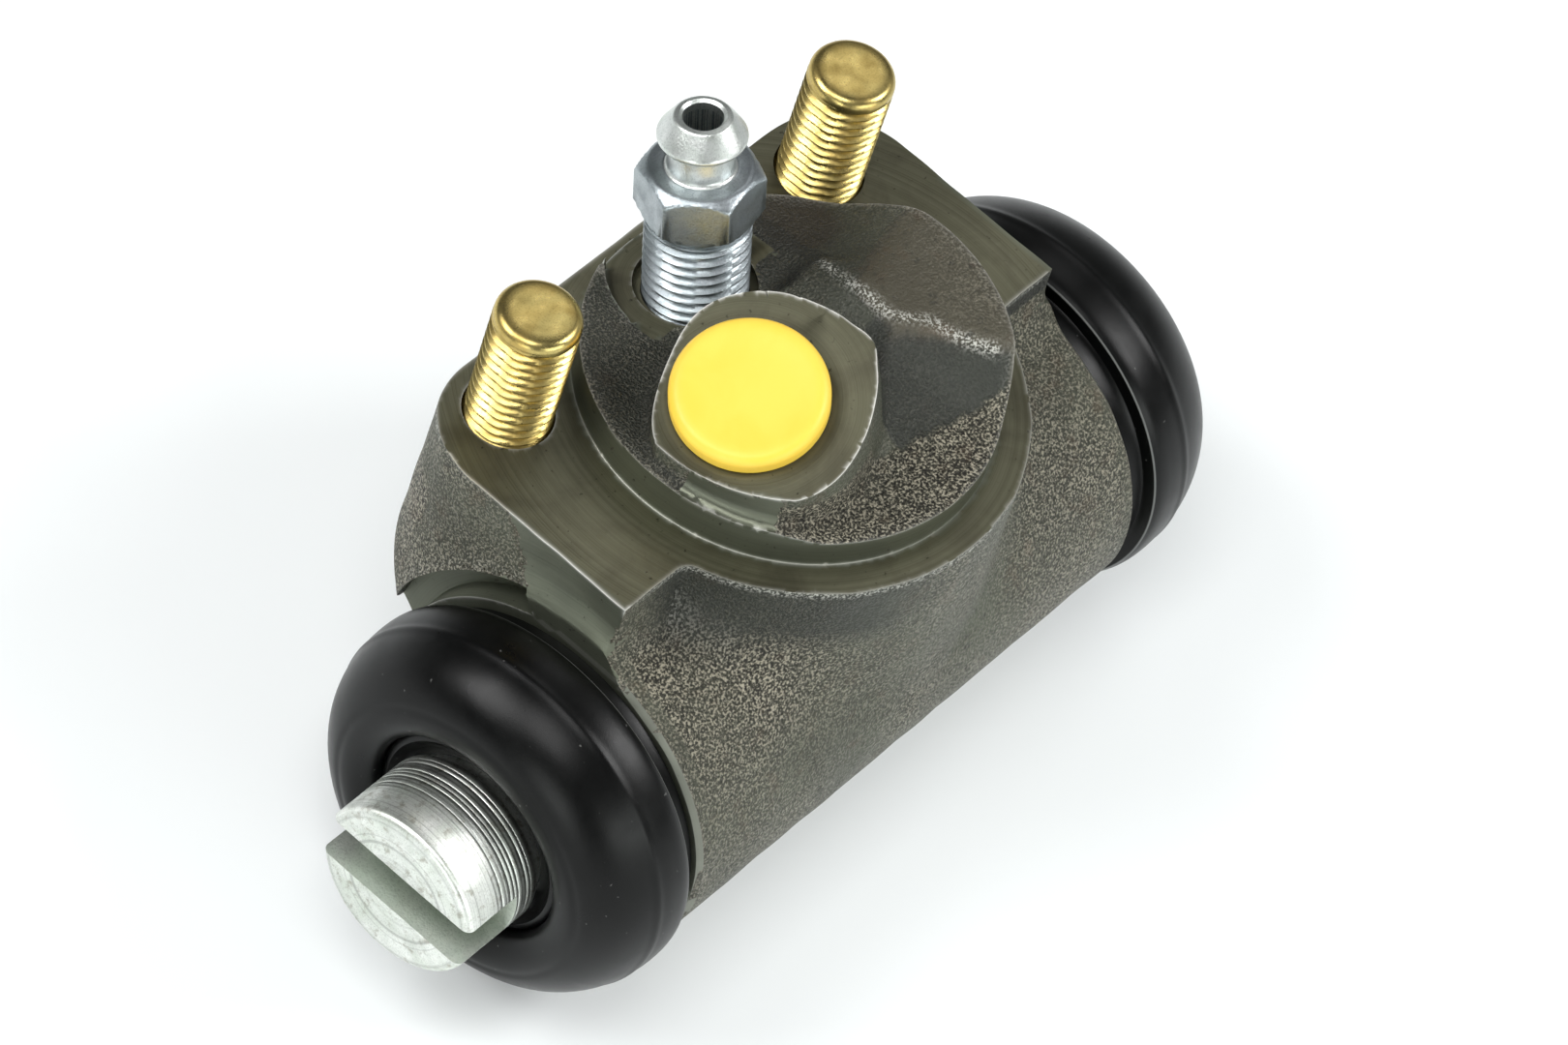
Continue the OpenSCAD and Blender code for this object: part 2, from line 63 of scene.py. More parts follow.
# the right piston sits this much further in than the left one
RIGHT_IN = 1.8
# the lugs' sloping underside, and the line on their ends where the turned relief stops
UNDER_Y, UNDER_Z, UNDER_RISE, UNDER_FALL = 9.5, -24.0, 0.4167, 0.909
PLAIN_Z, PLAIN_RISE, PLAIN_LENGTH = -8.8, 1.35, 1.68
RELIEF_FLOOR = -30.0
# drilled ways from the inlet and from the bleed hole to the bore
WAY_R, INLET_WAY, BLEED_WAY, BLEED_DEPTH = 1.5, 25.7, 24.5, 14.0


def smin(a, b, k):
    """Smaller of two distances, blended over k so that the joint becomes a fillet."""
    h = np.clip(0.5 + 0.5 * (b - a) / k, 0, 1)
    return b + (a - b) * h - k * h * (1 - h)


def smax(a, b, k):
    """Larger of two distances, blended over k so that the edge becomes round."""
    return -smin(-a, -b, k)


def polygon_distance(x, y, corners):
    """Signed distance to a polygon in the plane, negative inside."""
    c = np.asarray(corners, float)
    best = np.full(x.shape, 1e9)
    inside = np.zeros(x.shape, bool)
    for (ax, ay), (bx, by) in zip(c, np.roll(c, -1, 0)):
        ex, ey = bx - ax, by - ay
        wx, wy = x - ax, y - ay
        t = np.clip((wx * ex + wy * ey) / (ex * ex + ey * ey), 0, 1)
        best = np.minimum(best, (wx - t * ex) ** 2 + (wy - t * ey) ** 2)
        crosses = ((ay > y) != (by > y)) & (wx * (by - ay) < ex * wy) if by > ay else \
            ((ay > y) != (by > y)) & (wx * (by - ay) > ex * wy)
        inside ^= crosses
    return np.where(inside, -1, 1) * np.sqrt(best)


# Directions of the leaning axes: out of the inlet, out of the bleed hole
INLET_AXIS = np.array([-math.sin(INLET_LEAN), 0, math.cos(INLET_LEAN)])
INLET_U = np.array([math.cos(INLET_LEAN), 0, math.sin(INLET_LEAN)])
BLEED_AXIS = np.array([0, math.sin(BLEED_LEAN), math.cos(BLEED_LEAN)])
BLEED_V = np.array([0, math.cos(BLEED_LEAN), -math.sin(BLEED_LEAN)])
# outline of the boss round its middle, a bump on its side and a lobe at its left front
BOSS_MID, BOSS_R = (1.25, -1.15), 9.91
BOSS_COS = (-0.25, 0.40, -0.12, 0.10)
BOSS_SIN = (0.28, 0.21, 0.02, -0.30)
BUMP = (9.2, -3.3, 2.2)
LOBE = (-12.57, -5.2, 5.77)
MILL_PAST = 0.3
# the cast lump: plan, slope of its flank, foot of its ramp and the shelf behind it
LUMP_PLAN = [(8.6, 7.6), (6.4, 4.6), (5.4, 1.0), (4.7, -2.6), (2.2, -5.4), (-1.5, -11.5),
             (-1.0, -20), (24, -20), (24, 12), (14, 11)]
LUMP_FLANK, LUMP_FLANK_SLOPE = 3.3, math.radians(40)
RAMP_FOOT = (1.3, -11.5)
SHELF_PLAN = [(3, 0), (8.4, 0), (9.6, 3), (9.2, 5.0), (7, 5.4), (3, 5.4)]
# plan of the lump's upper edge, along which a painted glint runs
LUMP_EDGE = [(9.0, 5.2), (8.4, 2.1), (8.2, 0.0), (7.8, -2.9), (8.2, -4.2), (9.0, -5.1), (10.1, -6.3), (10.5, -7.9),
             (11.0, -9.3), (11.9, -10.9), (12.6, -11.9)]
# slow waves that make the cast skin uneven
rng = np.random.default_rng(11)
WAVES = rng.normal(size=(14, 3))
WAVES *= (2 * math.pi / rng.uniform(3.5, 9, 14) / np.linalg.norm(WAVES, axis=1))[:, None]
WAVE_PHASE = rng.uniform(0, 2 * math.pi, 14)


def inlet_local(p):
    """Points in the inlet's own frame: across, across and out along its axis."""
    q = p - INLET
    return q @ INLET_U, q[:, 1], q @ INLET_AXIS


def bleed_local(p):
    """Points in the bleed hole's own frame: across, across and out along its axis."""
    q = p - BLEED
    return q[:, 0], q @ BLEED_V, q @ BLEED_AXIS


def slope(p, at, strike, angle):
    """Distance above a plane that rises at angle from a line through at, which runs along strike."""
    a, s = math.radians(strike), math.radians(angle)
    across = -(p[:, 0] - at[0]) * math.sin(a) + (p[:, 1] - at[1]) * math.cos(a)
    return (p[:, 2] - at[2]) * math.cos(s) - across * math.sin(s)


def lug_end(z):
    """Distance of the lugs' drafted end faces from the middle."""
    return LUG_HALF + LUG_DRAFT * np.clip(-z, 0, 18)


def plain_end(y, z):
    """Distance into the plain front part of the lugs' ends, where the turned relief stops."""
    return (z - PLAIN_Z - PLAIN_RISE * y) / PLAIN_LENGTH


def past_ramp(x, y):
    """Distance in plan past the foot of the lump's ramp, negative in front of it."""
    return 0.19 * (x - RAMP_FOOT[0]) + 0.98 * (y - RAMP_FOOT[1])


def casting(p):
    """Signed distance to the iron casting: soft where it is cast, exact where it is machined."""
    x, y, z = p[:, 0], p[:, 1], p[:, 2]
    ax = np.abs(x)
    rb = np.hypot(y - BORE_Y, z - BORE_Z)
    r = np.hypot(x, y)
    rough = 0.03 * np.sin(p @ WAVES.T + WAVE_PHASE).sum(1) / 2.6
    # lugs: plan with round back corners, section down to the barrel
    half_y = (LUG_BACK - LUG_FRONT) / 2
    cy = y - (LUG_BACK + LUG_FRONT) / 2
    corner = np.where(cy > 0, LUG_CORNER, 0.25)
    qx, qy = ax - lug_end(z) + corner, np.abs(cy) - half_y + corner
    plan = np.minimum(np.maximum(qx, qy), 0) + np.hypot(np.maximum(qx, 0), np.maximum(qy, 0)) - corner
    under = UNDER_RISE * (y - UNDER_Y) - UNDER_FALL * (z - UNDER_Z)
    back = smax(y - LUG_BACK, under, 3.4)
    lug = smax(plan, back, 1.8)
    pad = np.maximum(np.maximum(r - PAD_R + PAD_DRAFT * z, y - LUG_BACK), -z - PAD_H)
    # fillets to the barrel shrink where the two surfaces run alongside each other
    barrel = np.maximum(rb - BARREL_R + 0.05, (ax - BARREL_HALF + rb - BARREL_R + END_CHAMFER) / math.sqrt(2))
    facing = UNDER_RISE * (y - BORE_Y) - UNDER_FALL * (z - BORE_Z)
    face = np.where(y < 0, BORE_Y - y, facing) / (rb + 1e-9)
    lug_fillet = smin(lug, barrel, 6.0 * np.clip(1 - face, 0.01, 1))
    pad_fillet = smin(pad, barrel, 7.0 * np.clip(1 - y * (y - BORE_Y) / (r * rb + 1e-9), 0.01, 1))
    low = np.minimum(np.minimum(lug_fillet, pad_fillet), smin(lug, pad, 1.3)) + rough
    low = np.maximum(low, ax - BARREL_HALF)
    # the ends are turned back round the barrel to let the boots on
    ring = np.maximum(np.maximum(RELIEF_X - ax, rb - RELIEF_R), BARREL_R - rb)
    ring = np.maximum(ring, np.maximum(plain_end(y, z), RELIEF_FLOOR - z))
    low = np.maximum(low, -ring)
    low = np.maximum(low, z)
    seat = np.maximum(rb - GROOVE_R, ax - SEAT_END)
    rim = np.maximum(rb - SEAT_R, np.maximum(ax - SEAT_END, GROOVE_END - ax))
    low = np.minimum(low, np.minimum(seat, rim))
    # spigot: cast top with boss, lump and shelf, turned to its round
    lx, ly, lz = inlet_local(p)
    bx, by = lx - BOSS_MID[0], ly - BOSS_MID[1]
    angle = np.arctan2(by, bx)
    outline = BOSS_R + sum(c * np.cos((i + 1) * angle) + s * np.sin((i + 1) * angle)
                         for i, (c, s) in enumerate(zip(BOSS_COS, BOSS_SIN)))
    boss = smin(np.hypot(bx, by) - outline, np.hypot(lx - BUMP[0], ly - BUMP[1]) - BUMP[2], 0.7)
    boss = boss + 0.07 * np.clip(lz, -12, 0) + rough
    # its left front flank runs into the turning of the spigot
    lobe = np.hypot(x - LOBE[0], y - LOBE[1]) - LOBE[2]
    boss = np.maximum(smin(boss, lobe, 0.4), r - BOSS_TURNED_R)
    ramp = slope(p, (*RAMP_FOOT, CROWN_Z), -11, 25.5)
    front = slope(p, (11.3, -9.4, LUMP_Z), -52, 43)
    behind = slope(p, (16.6, 8.4, CROWN_Z), 193, 32.5)
    lump_top = smax(smax(z - LUMP_Z, smin(ramp, front, 0.6), 0.6), behind, 1.0)
    lump_side = polygon_distance(x, y, LUMP_PLAN)
    flank = (z - LUMP_Z) * math.cos(LUMP_FLANK_SLOPE)
    flank = flank + (lump_side + LUMP_FLANK) * math.sin(LUMP_FLANK_SLOPE)
    lump = smax(smax(lump_side, lump_top, 1.1), flank, 0.5) + rough
    shelf = smax(polygon_distance(x, y, SHELF_PLAN), z - SHELF_Z, 1.2) + 1.3 * rough
    crown = z - CROWN_Z + 0.75 * np.clip((0.83 * x + 0.56 * y - 13) / 5, 0, 1) + 1.3 * rough
    crown = crown + 0.8 * np.clip((-y - 8) / 6, 0, 1) * np.clip((x + 16) / 3.5, 0, 1)
    top = smin(smin(crown, lump, 1.1), shelf, 2.0)
    top = smin(top, np.maximum(boss, lz - 2), 1.3)
    top = np.maximum(top, -np.maximum(boss - MILL_PAST, -lz))
    spigot = np.maximum(np.maximum(top, r - SPIGOT_R), -z - 2)
    hx, hy, hz = bleed_local(p)
    rh = np.hypot(hx, hy)
    spigot = np.maximum(spigot, -np.maximum(rh - SPOT_R, -hz - SPOT_SINK))
    body = np.minimum(low, spigot)
    # bores and holes
    rl = np.hypot(lx, ly)
    holes = [
        rb - BORE_R,
        np.maximum(rb - BORE_R - 0.6 + (SEAT_END - ax), SEAT_END - 0.8 - ax),
        np.maximum(np.hypot(ax - STUD_X, y - STUD_Y) - STUD_ROOT_R - 0.02, -z - STUD_IN - 0.5),
        np.maximum(rl - PORT_R, -lz - PORT_DEPTH),
        np.maximum((rl - PORT_R - 0.5 - lz) / math.sqrt(2), -lz - 0.5),
        np.maximum(rl - WAY_R, -lz - INLET_WAY),
        np.maximum(rh - BLEED_R - 0.05, -hz - BLEED_DEPTH),
        np.maximum(rh - BLEED_R - 0.8, -hz - 1.4),
        np.maximum(rh - WAY_R, -hz - BLEED_WAY),
    ]
    for h in holes:
        body = np.maximum(body, -h)
    return body


def field(points, chunk=200000):
    """The casting's distance at many points, a part of them at a time."""
    return np.concatenate([casting(points[i:i + chunk]) for i in range(0, len(points), chunk)])


def contour(low, high, step):
    """Dual contouring of the casting's distance field: one vertex a cell, placed on edges and corners."""
    low, high = np.array(low, float), np.array(high, float)
    n = np.ceil((high - low) / step).astype(int) + 1
    axes = [low[i] + step * np.arange(n[i]) for i in range(3)]
    grid = np.stack(np.meshgrid(*axes, indexing="ij"), -1)
    f = field(grid.reshape(-1, 3)).reshape(n)
    inside = f < 0
    cells = n - 1
    edge_p, edge_cells, edge_flip = [], [], []
    for a in range(3):
        b, c = (a + 1) % 3, (a + 2) % 3
        lo = [slice(None)] * 3
        hi = [slice(None)] * 3
        lo[a], hi[a] = slice(0, -1), slice(1, None)
        change = inside[tuple(lo)] != inside[tuple(hi)]
        e = np.argwhere(change)
        keep = (e[:, b] > 0) & (e[:, c] > 0) & (e[:, b] < n[b] - 1) & (e[:, c] < n[c] - 1)
        e = e[keep]
        e2 = e.copy()
        e2[:, a] += 1
        p0, p1 = low + step * e, low + step * e2
        f0, f1 = f[tuple(e.T)], f[tuple(e2.T)]
        for _ in range(4):
            t = np.clip(f0 / (f0 - f1), 0.02, 0.98)[:, None]
            pm = p0 + t * (p1 - p0)
            fm = field(pm)
            left = (fm < 0) == (f0 < 0)
            p0, f0 = np.where(left[:, None], pm, p0), np.where(left, fm, f0)
            p1, f1 = np.where(left[:, None], p1, pm), np.where(left, f1, fm)
        t = np.clip(f0 / (f0 - f1 + 1e-12), 0, 1)[:, None]
        edge_p.append(p0 + t * (p1 - p0))
        around = []
        for db, dc in ((0, 0), (-1, 0), (-1, -1), (0, -1)):
            q = e.copy()
            q[:, b] += db
            q[:, c] += dc
            around.append((q[:, 0] * cells[1] + q[:, 1]) * cells[2] + q[:, 2])
        edge_cells.append(np.stack(around, 1))
        edge_flip.append(inside[tuple(e.T)])
    p, quads, flip = np.concatenate(edge_p), np.concatenate(edge_cells), np.concatenate(edge_flip)
    d = 0.02
    normal = np.stack([field(p + d * np.eye(3)[i]) - field(p - d * np.eye(3)[i]) for i in range(3)], 1)
    normal /= np.linalg.norm(normal, axis=1)[:, None] + 1e-12
    used, index = np.unique(quads, return_inverse=True)
    index = index.reshape(quads.shape)
    m = len(used)
    flat = index.ravel()
    pp, nn = np.repeat(p, 4, 0), np.repeat(normal, 4, 0)
    count = np.bincount(flat, minlength=m).astype(float)
    mass = np.stack([np.bincount(flat, pp[:, i], m) for i in range(3)], 1) / count[:, None]
    off = ((pp - mass[flat]) * nn).sum(1)
    ata = np.stack([np.bincount(flat, nn[:, i] * nn[:, j], m) for i in range(3) for j in range(3)], 1)
    ata = ata.reshape(m, 3, 3)
    atb = np.stack([np.bincount(flat, nn[:, i] * off, m) for i in range(3)], 1)
    value, vector = np.linalg.eigh(ata)
    strong = value > 0.08 * value[:, 2:3]
    inverse = np.where(strong, 1 / np.where(strong, value, 1), 0)
    move = np.einsum("mij,mj->mi", vector, inverse * np.einsum("mji,mj->mi", vector, atb))
    cell = np.stack(np.unravel_index(used, cells), 1)
    corner = low + step * cell
    v = np.clip(mass + move, corner - 0.05 * step, corner + 1.05 * step)
    quads = np.where(flip[:, None], index, index[:, ::-1])
    # each quad is split along the diagonal that stays nearer the surface
    d0 = np.abs(field((v[quads[:, 0]] + v[quads[:, 2]]) / 2))
    d1 = np.abs(field((v[quads[:, 1]] + v[quads[:, 3]]) / 2))
    first = (d0 <= d1)[:, None]
    t0 = np.where(first, quads[:, [0, 1, 2]], quads[:, [0, 1, 3]])
    t1 = np.where(first, quads[:, [0, 2, 3]], quads[:, [1, 2, 3]])
    tris = np.concatenate([t0, t1])
    good = (tris[:, 0] != tris[:, 1]) & (tris[:, 1] != tris[:, 2]) & (tris[:, 0] != tris[:, 2])
    return v, tris[good]


def finish_of(p, n):
    """For each face: which machined surface it is (0 is as cast), and the distance in mm across its tool marks."""
    x, y, z = p.T
    ax = np.abs(x)
    rb, r = np.hypot(y - BORE_Y, z - BORE_Z), np.hypot(x, y)
    lx, ly, lz = inlet_local(p)
    hx, hy, hz = bleed_local(p)
    rl, rh = np.hypot(lx, ly), np.hypot(hx, hy)
    out = (n[:, 0] * x + n[:, 1] * y) / (r + 1e-9)
    near = 0.14
    turned_flank = (r > BOSS_TURNED_R - 0.2) & (z > 2) & (lz < -0.12)
    turned_flank &= np.abs(np.arctan2(y, x) + 2.749) < 0.235
    rules = [
        ((np.abs(z) < near) & (n[:, 2] > 0.9), r),
        (((np.abs(r - SPIGOT_R) < near) & (z > -0.3) & (out > 0.75)) | turned_flank, z + 40),
        ((np.abs(lz) < near) & (n @ INLET_AXIS > 0.93) & (rl < 14), rl + 80),
        ((np.abs(hz + SPOT_SINK) < near) & (n @ BLEED_AXIS > 0.93) & (rh < SPOT_R + 0.2), rh + 120),
        ((np.abs(rh - SPOT_R) < near) & (hz > -SPOT_SINK - 0.2), hz + 160),
        ((ax > RELIEF_X - 0.1) & (rb < RELIEF_R + 0.1) & ((np.abs(n[:, 0]) > 0.7) | (rb < BARREL_R - 0.4)
                                                          | ((y > -7.4) & (z > -20))),
         np.where(np.abs(n[:, 0]) > 0.7, rb, ax) + 200),
        ((np.abs(ax - lug_end(z)) < 0.9) & (np.abs(n[:, 0]) > 0.3) & (y > LUG_FRONT + 0.1)
         & (plain_end(y, z) > 0.25 * np.sin(3 * z)), rb + 240),
        (rb < BORE_R + near, x + 300),
        ((rl < PORT_R + 1.3) & (lz < 0.2) & (lz > -15), lz + 400),
        ((rh < BLEED_R + 1) & (hz < 0.2 - SPOT_SINK) & (hz > -15), hz + 440),
        ((np.hypot(ax - STUD_X, y - STUD_Y) < STUD_ROOT_R + 0.2) & (z < -0.05) & (z > -15), z + 480),
    ]
    kind = np.zeros(len(p), int)
    lay = np.zeros(len(p))
    for i, (hit, value) in enumerate(rules):
        new = hit & (kind == 0)
        kind = np.where(new, i + 1, kind)
        lay = np.where(new, value, lay)
    return kind, lay


def grain_of(p):
    """How coarse the cast skin is: sparkling in front of the lump and on the barrel's left, smoother elsewhere."""
    x, y, z = p.T
    top = (z > 2.2) & (np.hypot(x, y) < SPIGOT_R + 0.1)
    band = np.clip((z + 19) / 9, 0, 1) * np.clip((-5.0 - z) / 2.5, 0, 1)
    value = 0.28 + np.where(x < 0, 0.7 * band, 0.3) * np.clip((np.abs(x) - 9) / 10, 0, 1)
    value = np.where(np.abs(x) > LUG_HALF - 0.6, 0.42, value)
    value = np.where(top, np.where((z < 4.8) & (x < -8), 0.5, np.where(z > 7.2, 0.06, 0.2)), value)
    value = np.where(top & (past_ramp(x, y) < -0.9) & (z < 6.5) & (x > -15), 0.95, value)
    return value + 0.12 * np.sin(p @ WAVES[:5].T / 2 + WAVE_PHASE[:5]).sum(1) / 2.2


def line_distance(x, y, points):
    """Distance in plan to an open line of points."""
    best = np.full(x.shape, 1e9)
    for (ax, ay), (bx, by) in zip(points, points[1:]):
        ex, ey = bx - ax, by - ay
        t = np.clip(((x - ax) * ex + (y - ay) * ey) / (ex * ex + ey * ey), 0, 1)
        best = np.minimum(best, np.hypot(x - ax - t * ex, y - ay - t * ey))
    return best


def painted_shade_of(p):
    """Painted shade on the cast skin: the lump's slopes that face away from the lamps, the shadows beside the boss and
    behind the shelf, under the pad, the right lug's front.
    """
    x, y, z = p.T
    top = (z > 2.2) & (np.hypot(x, y) < SPIGOT_R - 0.1)
    ramp_side = (past_ramp(x, y) > -1.0) & (y < -2.5) & (x > 0)
    value = np.where(top & ramp_side, 0.8 * np.clip((7.5 - z) / 0.5, 0, 1), 0)
    value = np.where(top & (y >= -2.5) & (x > 3) & (z < 7.2), 0.4, value)
    value = np.where(top & (y > 5.0) & (x > 4) & (x < 10.5) & (z < 5.2), 0.75, value)
    value = np.where(top & (x < -6) & (y > -6) & (z < 5), 0.62, value)
    front = (y < LUG_FRONT + 0.6) & (x > 15) & (np.hypot(x, y) > PAD_R) & (z < -0.2) & (z > -2.6)
    under_pad = np.clip((z + 8.5) / 3, 0, 1) * np.clip((x + 27) / 4, 0, 1) * np.clip((-2 - x) / 8, 0, 1)
    value = np.where((y < -6) & (z < -0.3), 0.7 * under_pad, value)
    return np.where(front, 0.85, value)


# Materials

def material(name, **values):
    """A new material with numbers set on its shader's own sockets."""
    m = bpy.data.materials.new(name)
    m.use_nodes = True
    shader = m.node_tree.nodes["Principled BSDF"]
    for key, value in values.items():
        shader.inputs[key.replace("_", " ").title().replace("Ior", "IOR")].default_value = value
    return m, m.node_tree, shader


def feed(tree, socket, value):
    """Link a socket to another one, or set it to a number, vector or colour."""
    if isinstance(value, bpy.types.NodeSocket):
        tree.links.new(value, socket)
    elif socket.type == "RGBA" and len(value) == 3:
        socket.default_value = (*value, 1)
    else:
        socket.default_value = value


def node(tree, kind, inputs=None, **settings):
    n = tree.nodes.new(kind)
    for key, value in settings.items():
        setattr(n, key, value)
    for key, value in (inputs or {}).items():
        feed(tree, n.inputs[key], value)
    return n


def millimetres(tree):
    """Object coordinates in millimetres."""
    where = node(tree, "ShaderNodeTexCoord")
    scaled = {0: where.outputs["Object"], "Scale": 1000.0}
    return node(tree, "ShaderNodeVectorMath", scaled, operation="SCALE").outputs[0]


def noise(tree, vector, scale, detail=3.0, rough=0.55, distortion=0.0):
    settings = {"Vector": vector, "Scale": scale, "Detail": detail, "Roughness": rough, "Distortion": distortion}
    return node(tree, "ShaderNodeTexNoise", settings).outputs["Fac"]


def ramp(tree, fac, *stops):
    """Colour or grey by a factor: each stop is a place and a colour or number."""
    n = node(tree, "ShaderNodeValToRGB", {"Fac": fac})
    e = n.color_ramp.elements
    while len(e) < len(stops):
        e.new(0.5)
    for point, (at, colour) in zip(e, stops):
        point.position = at
        point.color = (*colour, 1) if isinstance(colour, tuple) else (colour, colour, colour, 1)
    return n.outputs["Color"]


def mix(tree, fac, a, b):
    """Colour a where the factor is 0 and b where it is 1; the colour sockets of the node are 6, 7 and output 2."""
    return node(tree, "ShaderNodeMix", {0: fac, 6: a, 7: b}, data_type="RGBA").outputs[2]


def math_node(tree, operation, a, b):
    return node(tree, "ShaderNodeMath", {0: a, 1: b}, operation=operation).outputs[0]


def bump(tree, shader, height, strength, distance, under=None):
    """Fine relief on the shader, on top of another bump if under is its output."""
    inputs = {"Height": height, "Strength": strength, "Distance": distance}
    if under is not None:
        inputs["Normal"] = under
    n = node(tree, "ShaderNodeBump", inputs)
    tree.links.new(n.outputs[0], shader.inputs["Normal"])
    return n.outputs[0]


def attribute(tree, name):
    return node(tree, "ShaderNodeAttribute", attribute_name=name).outputs["Fac"]


def marks(tree, lay):
    """Tool marks: noise along one coordinate, coarse and fine."""
    v = node(tree, "ShaderNodeCombineXYZ", {"X": lay}).outputs[0]
    return noise(tree, v, 1.3, 2.0, 0.6), noise(tree, v, 7.0, 3.0, 0.7)


def cast_iron():
    m, t, s = material("cast_iron", metallic=0.25, roughness=0.55)
    p = millimetres(t)
    grain = noise(t, p, 4.2, 2.0, 0.55)
    pits = noise(t, p, 1.1, 3.0, 0.6)
    cloud = noise(t, p, 0.12, 3.0, 0.55)
    rust = noise(t, p, 0.35, 4.0, 0.6)
    coarse = attribute(t, "coarse")
    dark = ramp(t, cloud, (0.3, (0.047, 0.050, 0.034)), (0.7, (0.080, 0.086, 0.059)))
    dark = mix(t, math_node(t, "MULTIPLY", attribute(t, "tone_and_sheen"), 0.75), dark, (0.070, 0.060, 0.041))
    dark = mix(t, ramp(t, pits, (0.3, 0.6), (0.42, 0.0)), dark, (0.018, 0.018, 0.014))
    speck = ramp(t, grain, (0.38, (0.011, 0.009, 0.006)), (0.5, (0.060, 0.058, 0.040)),
                 (0.62, (0.42, 0.385, 0.295)))
    c = mix(t, coarse, dark, speck)
    c = mix(t, ramp(t, rust, (0.56, 0.0), (0.74, 0.4)), c, (0.085, 0.052, 0.028))
    # a brown patch behind the lump, which paints the shadow of the bleed screw and the right stud
    bleed_shadow_distance = node(t, "ShaderNodeVectorMath", {0: p, 1: (12.2, 10.2, 3.4)}, operation="DISTANCE").outputs["Value"]
    c = mix(t, ramp(t, math_node(t, "DIVIDE", bleed_shadow_distance, 10.0), (0.30, 0.75), (0.48, 0.0)), c, (0.036, 0.025, 0.016))
    # painted shade where the skin faces away from the lamps or lies in shadow
    c = mix(t, attribute(t, "painted_shade"), c, (0.016, 0.018, 0.015))
    # painted shade in the corners between surfaces, and painted glints where the edges would catch the light
    c = mix(t, math_node(t, "MULTIPLY", attribute(t, "hollow"), 0.8), c, (0.014, 0.014, 0.011))
    # painted glint on sharp cast edges and along the lump's upper edge
    glint = math_node(t, "MULTIPLY", attribute(t, "ridge"), ramp(t, grain, (0.47, 0.0), (0.60, 1.0)))
    c = mix(t, glint, c, (0.52, 0.52, 0.47))
    # painted highlight on sharp edges and along the spigot's foot
    edge_glint = math_node(t, "POWER", attribute(t, "painted_edge_glint"), 4.0)
    c = mix(t, math_node(t, "MULTIPLY", edge_glint, 0.6), c, (0.55, 0.54, 0.49))
    t.links.new(c, s.inputs["Base Color"])
    t.links.new(ramp(t, grain, (0.35, 0.62), (0.65, 0.36)), s.inputs["Roughness"])
    first = bump(t, s, pits, 0.5, 0.0003)
    bump(t, s, math_node(t, "MULTIPLY", grain, math_node(t, "ADD", coarse, 0.35)), 1.0, 0.0004, first)
    return m


def machined_iron():
    m, t, s = material("machined_iron", metallic=0.75, roughness=0.4, anisotropic=0.75)
    p = millimetres(t)
    coarse, fine = marks(t, attribute(t, "lay"))
    stain = noise(t, p, 0.16, 4.0, 0.6, 0.6)
    spots = noise(t, p, 1.6, 2.0, 0.5)
    c = ramp(t, coarse, (0.3, (0.074, 0.072, 0.042)), (0.7, (0.130, 0.127, 0.082)))
    c = mix(t, ramp(t, fine, (0.35, 0.0), (0.7, 0.5)), c, (0.168, 0.164, 0.116))
    c = mix(t, ramp(t, stain, (0.46, 0.0), (0.76, 0.6)), c, (0.056, 0.050, 0.033))
    # paler turned walls and ends, partly a painted highlight
    c = mix(t, math_node(t, "MULTIPLY", attribute(t, "tone_and_sheen"), 0.6), c, (0.150, 0.168, 0.132))
    c = mix(t, ramp(t, spots, (0.68, 0.0), (0.76, 0.7)), c, (0.02, 0.018, 0.013))
    # painted highlight on sharp edges and along the spigot's foot
    edge_glint = math_node(t, "POWER", attribute(t, "painted_edge_glint"), 4.0)
    c = mix(t, edge_glint, c, (0.88, 0.88, 0.83))
    t.links.new(c, s.inputs["Base Color"])
    t.links.new(ramp(t, fine, (0.3, 0.5), (0.7, 0.34)), s.inputs["Roughness"])
    around = node(t, "ShaderNodeTangent", direction_type="RADIAL", axis="Z")
    t.links.new(around.outputs[0], s.inputs["Tangent"])
    first = bump(t, s, fine, 0.35, 0.00005)
    bump(t, s, coarse, 0.25, 0.0001, first)
    return m


def zinc(name, low, high, tint, rough, turned=False, dents=0.3):
    m, t, s = material(name, metallic=1.0, roughness=rough, anisotropic=0.6 if turned else 0.0)
    p = millimetres(t)
    cloud = noise(t, p, 0.5, 3.0, 0.55)
    fine = noise(t, p, 6.0, 2.0, 0.5)
    hue = noise(t, p, 0.23, 2.0, 0.5, 0.8)
    c = ramp(t, cloud, (0.3, low), (0.7, high))
    c = mix(t, ramp(t, hue, (0.42, 0.0), (0.68, 0.75)), c, tint)
    c = mix(t, ramp(t, fine, (0.3, 0.35), (0.5, 0.0)), c, tuple(0.45 * v for v in low))
    height = fine
    if turned:
        v = node(t, "ShaderNodeCombineXYZ", {"X": attribute(t, "lay")}).outputs[0]
        rings = noise(t, v, 2.3, 2.0, 0.6)
        lines = noise(t, v, 6.0, 2.0, 0.6)
        scuff = noise(t, p, 1.1, 4.0, 0.65)
        c = mix(t, ramp(t, rings, (0.36, 0.4), (0.46, 0.0)), c, tuple(0.28 * v for v in low))
        c = mix(t, ramp(t, lines, (0.36, 0.35), (0.5, 0.0)), c, tuple(0.4 * v for v in low))
        c = mix(t, ramp(t, scuff, (0.54, 0.0), (0.68, 0.6)), c, (0.27, 0.25, 0.19))
        height = math_node(t, "ADD", rings, math_node(t, "MULTIPLY", lines, 0.4))
        around = node(t, "ShaderNodeTangent", direction_type="RADIAL", axis="X")
        t.links.new(around.outputs[0], s.inputs["Tangent"])
    t.links.new(c, s.inputs["Base Color"])
    t.links.new(ramp(t, cloud, (0.3, rough + 0.08), (0.7, rough - 0.06)), s.inputs["Roughness"])
    bump(t, s, height, dents, 0.00008)
    return m


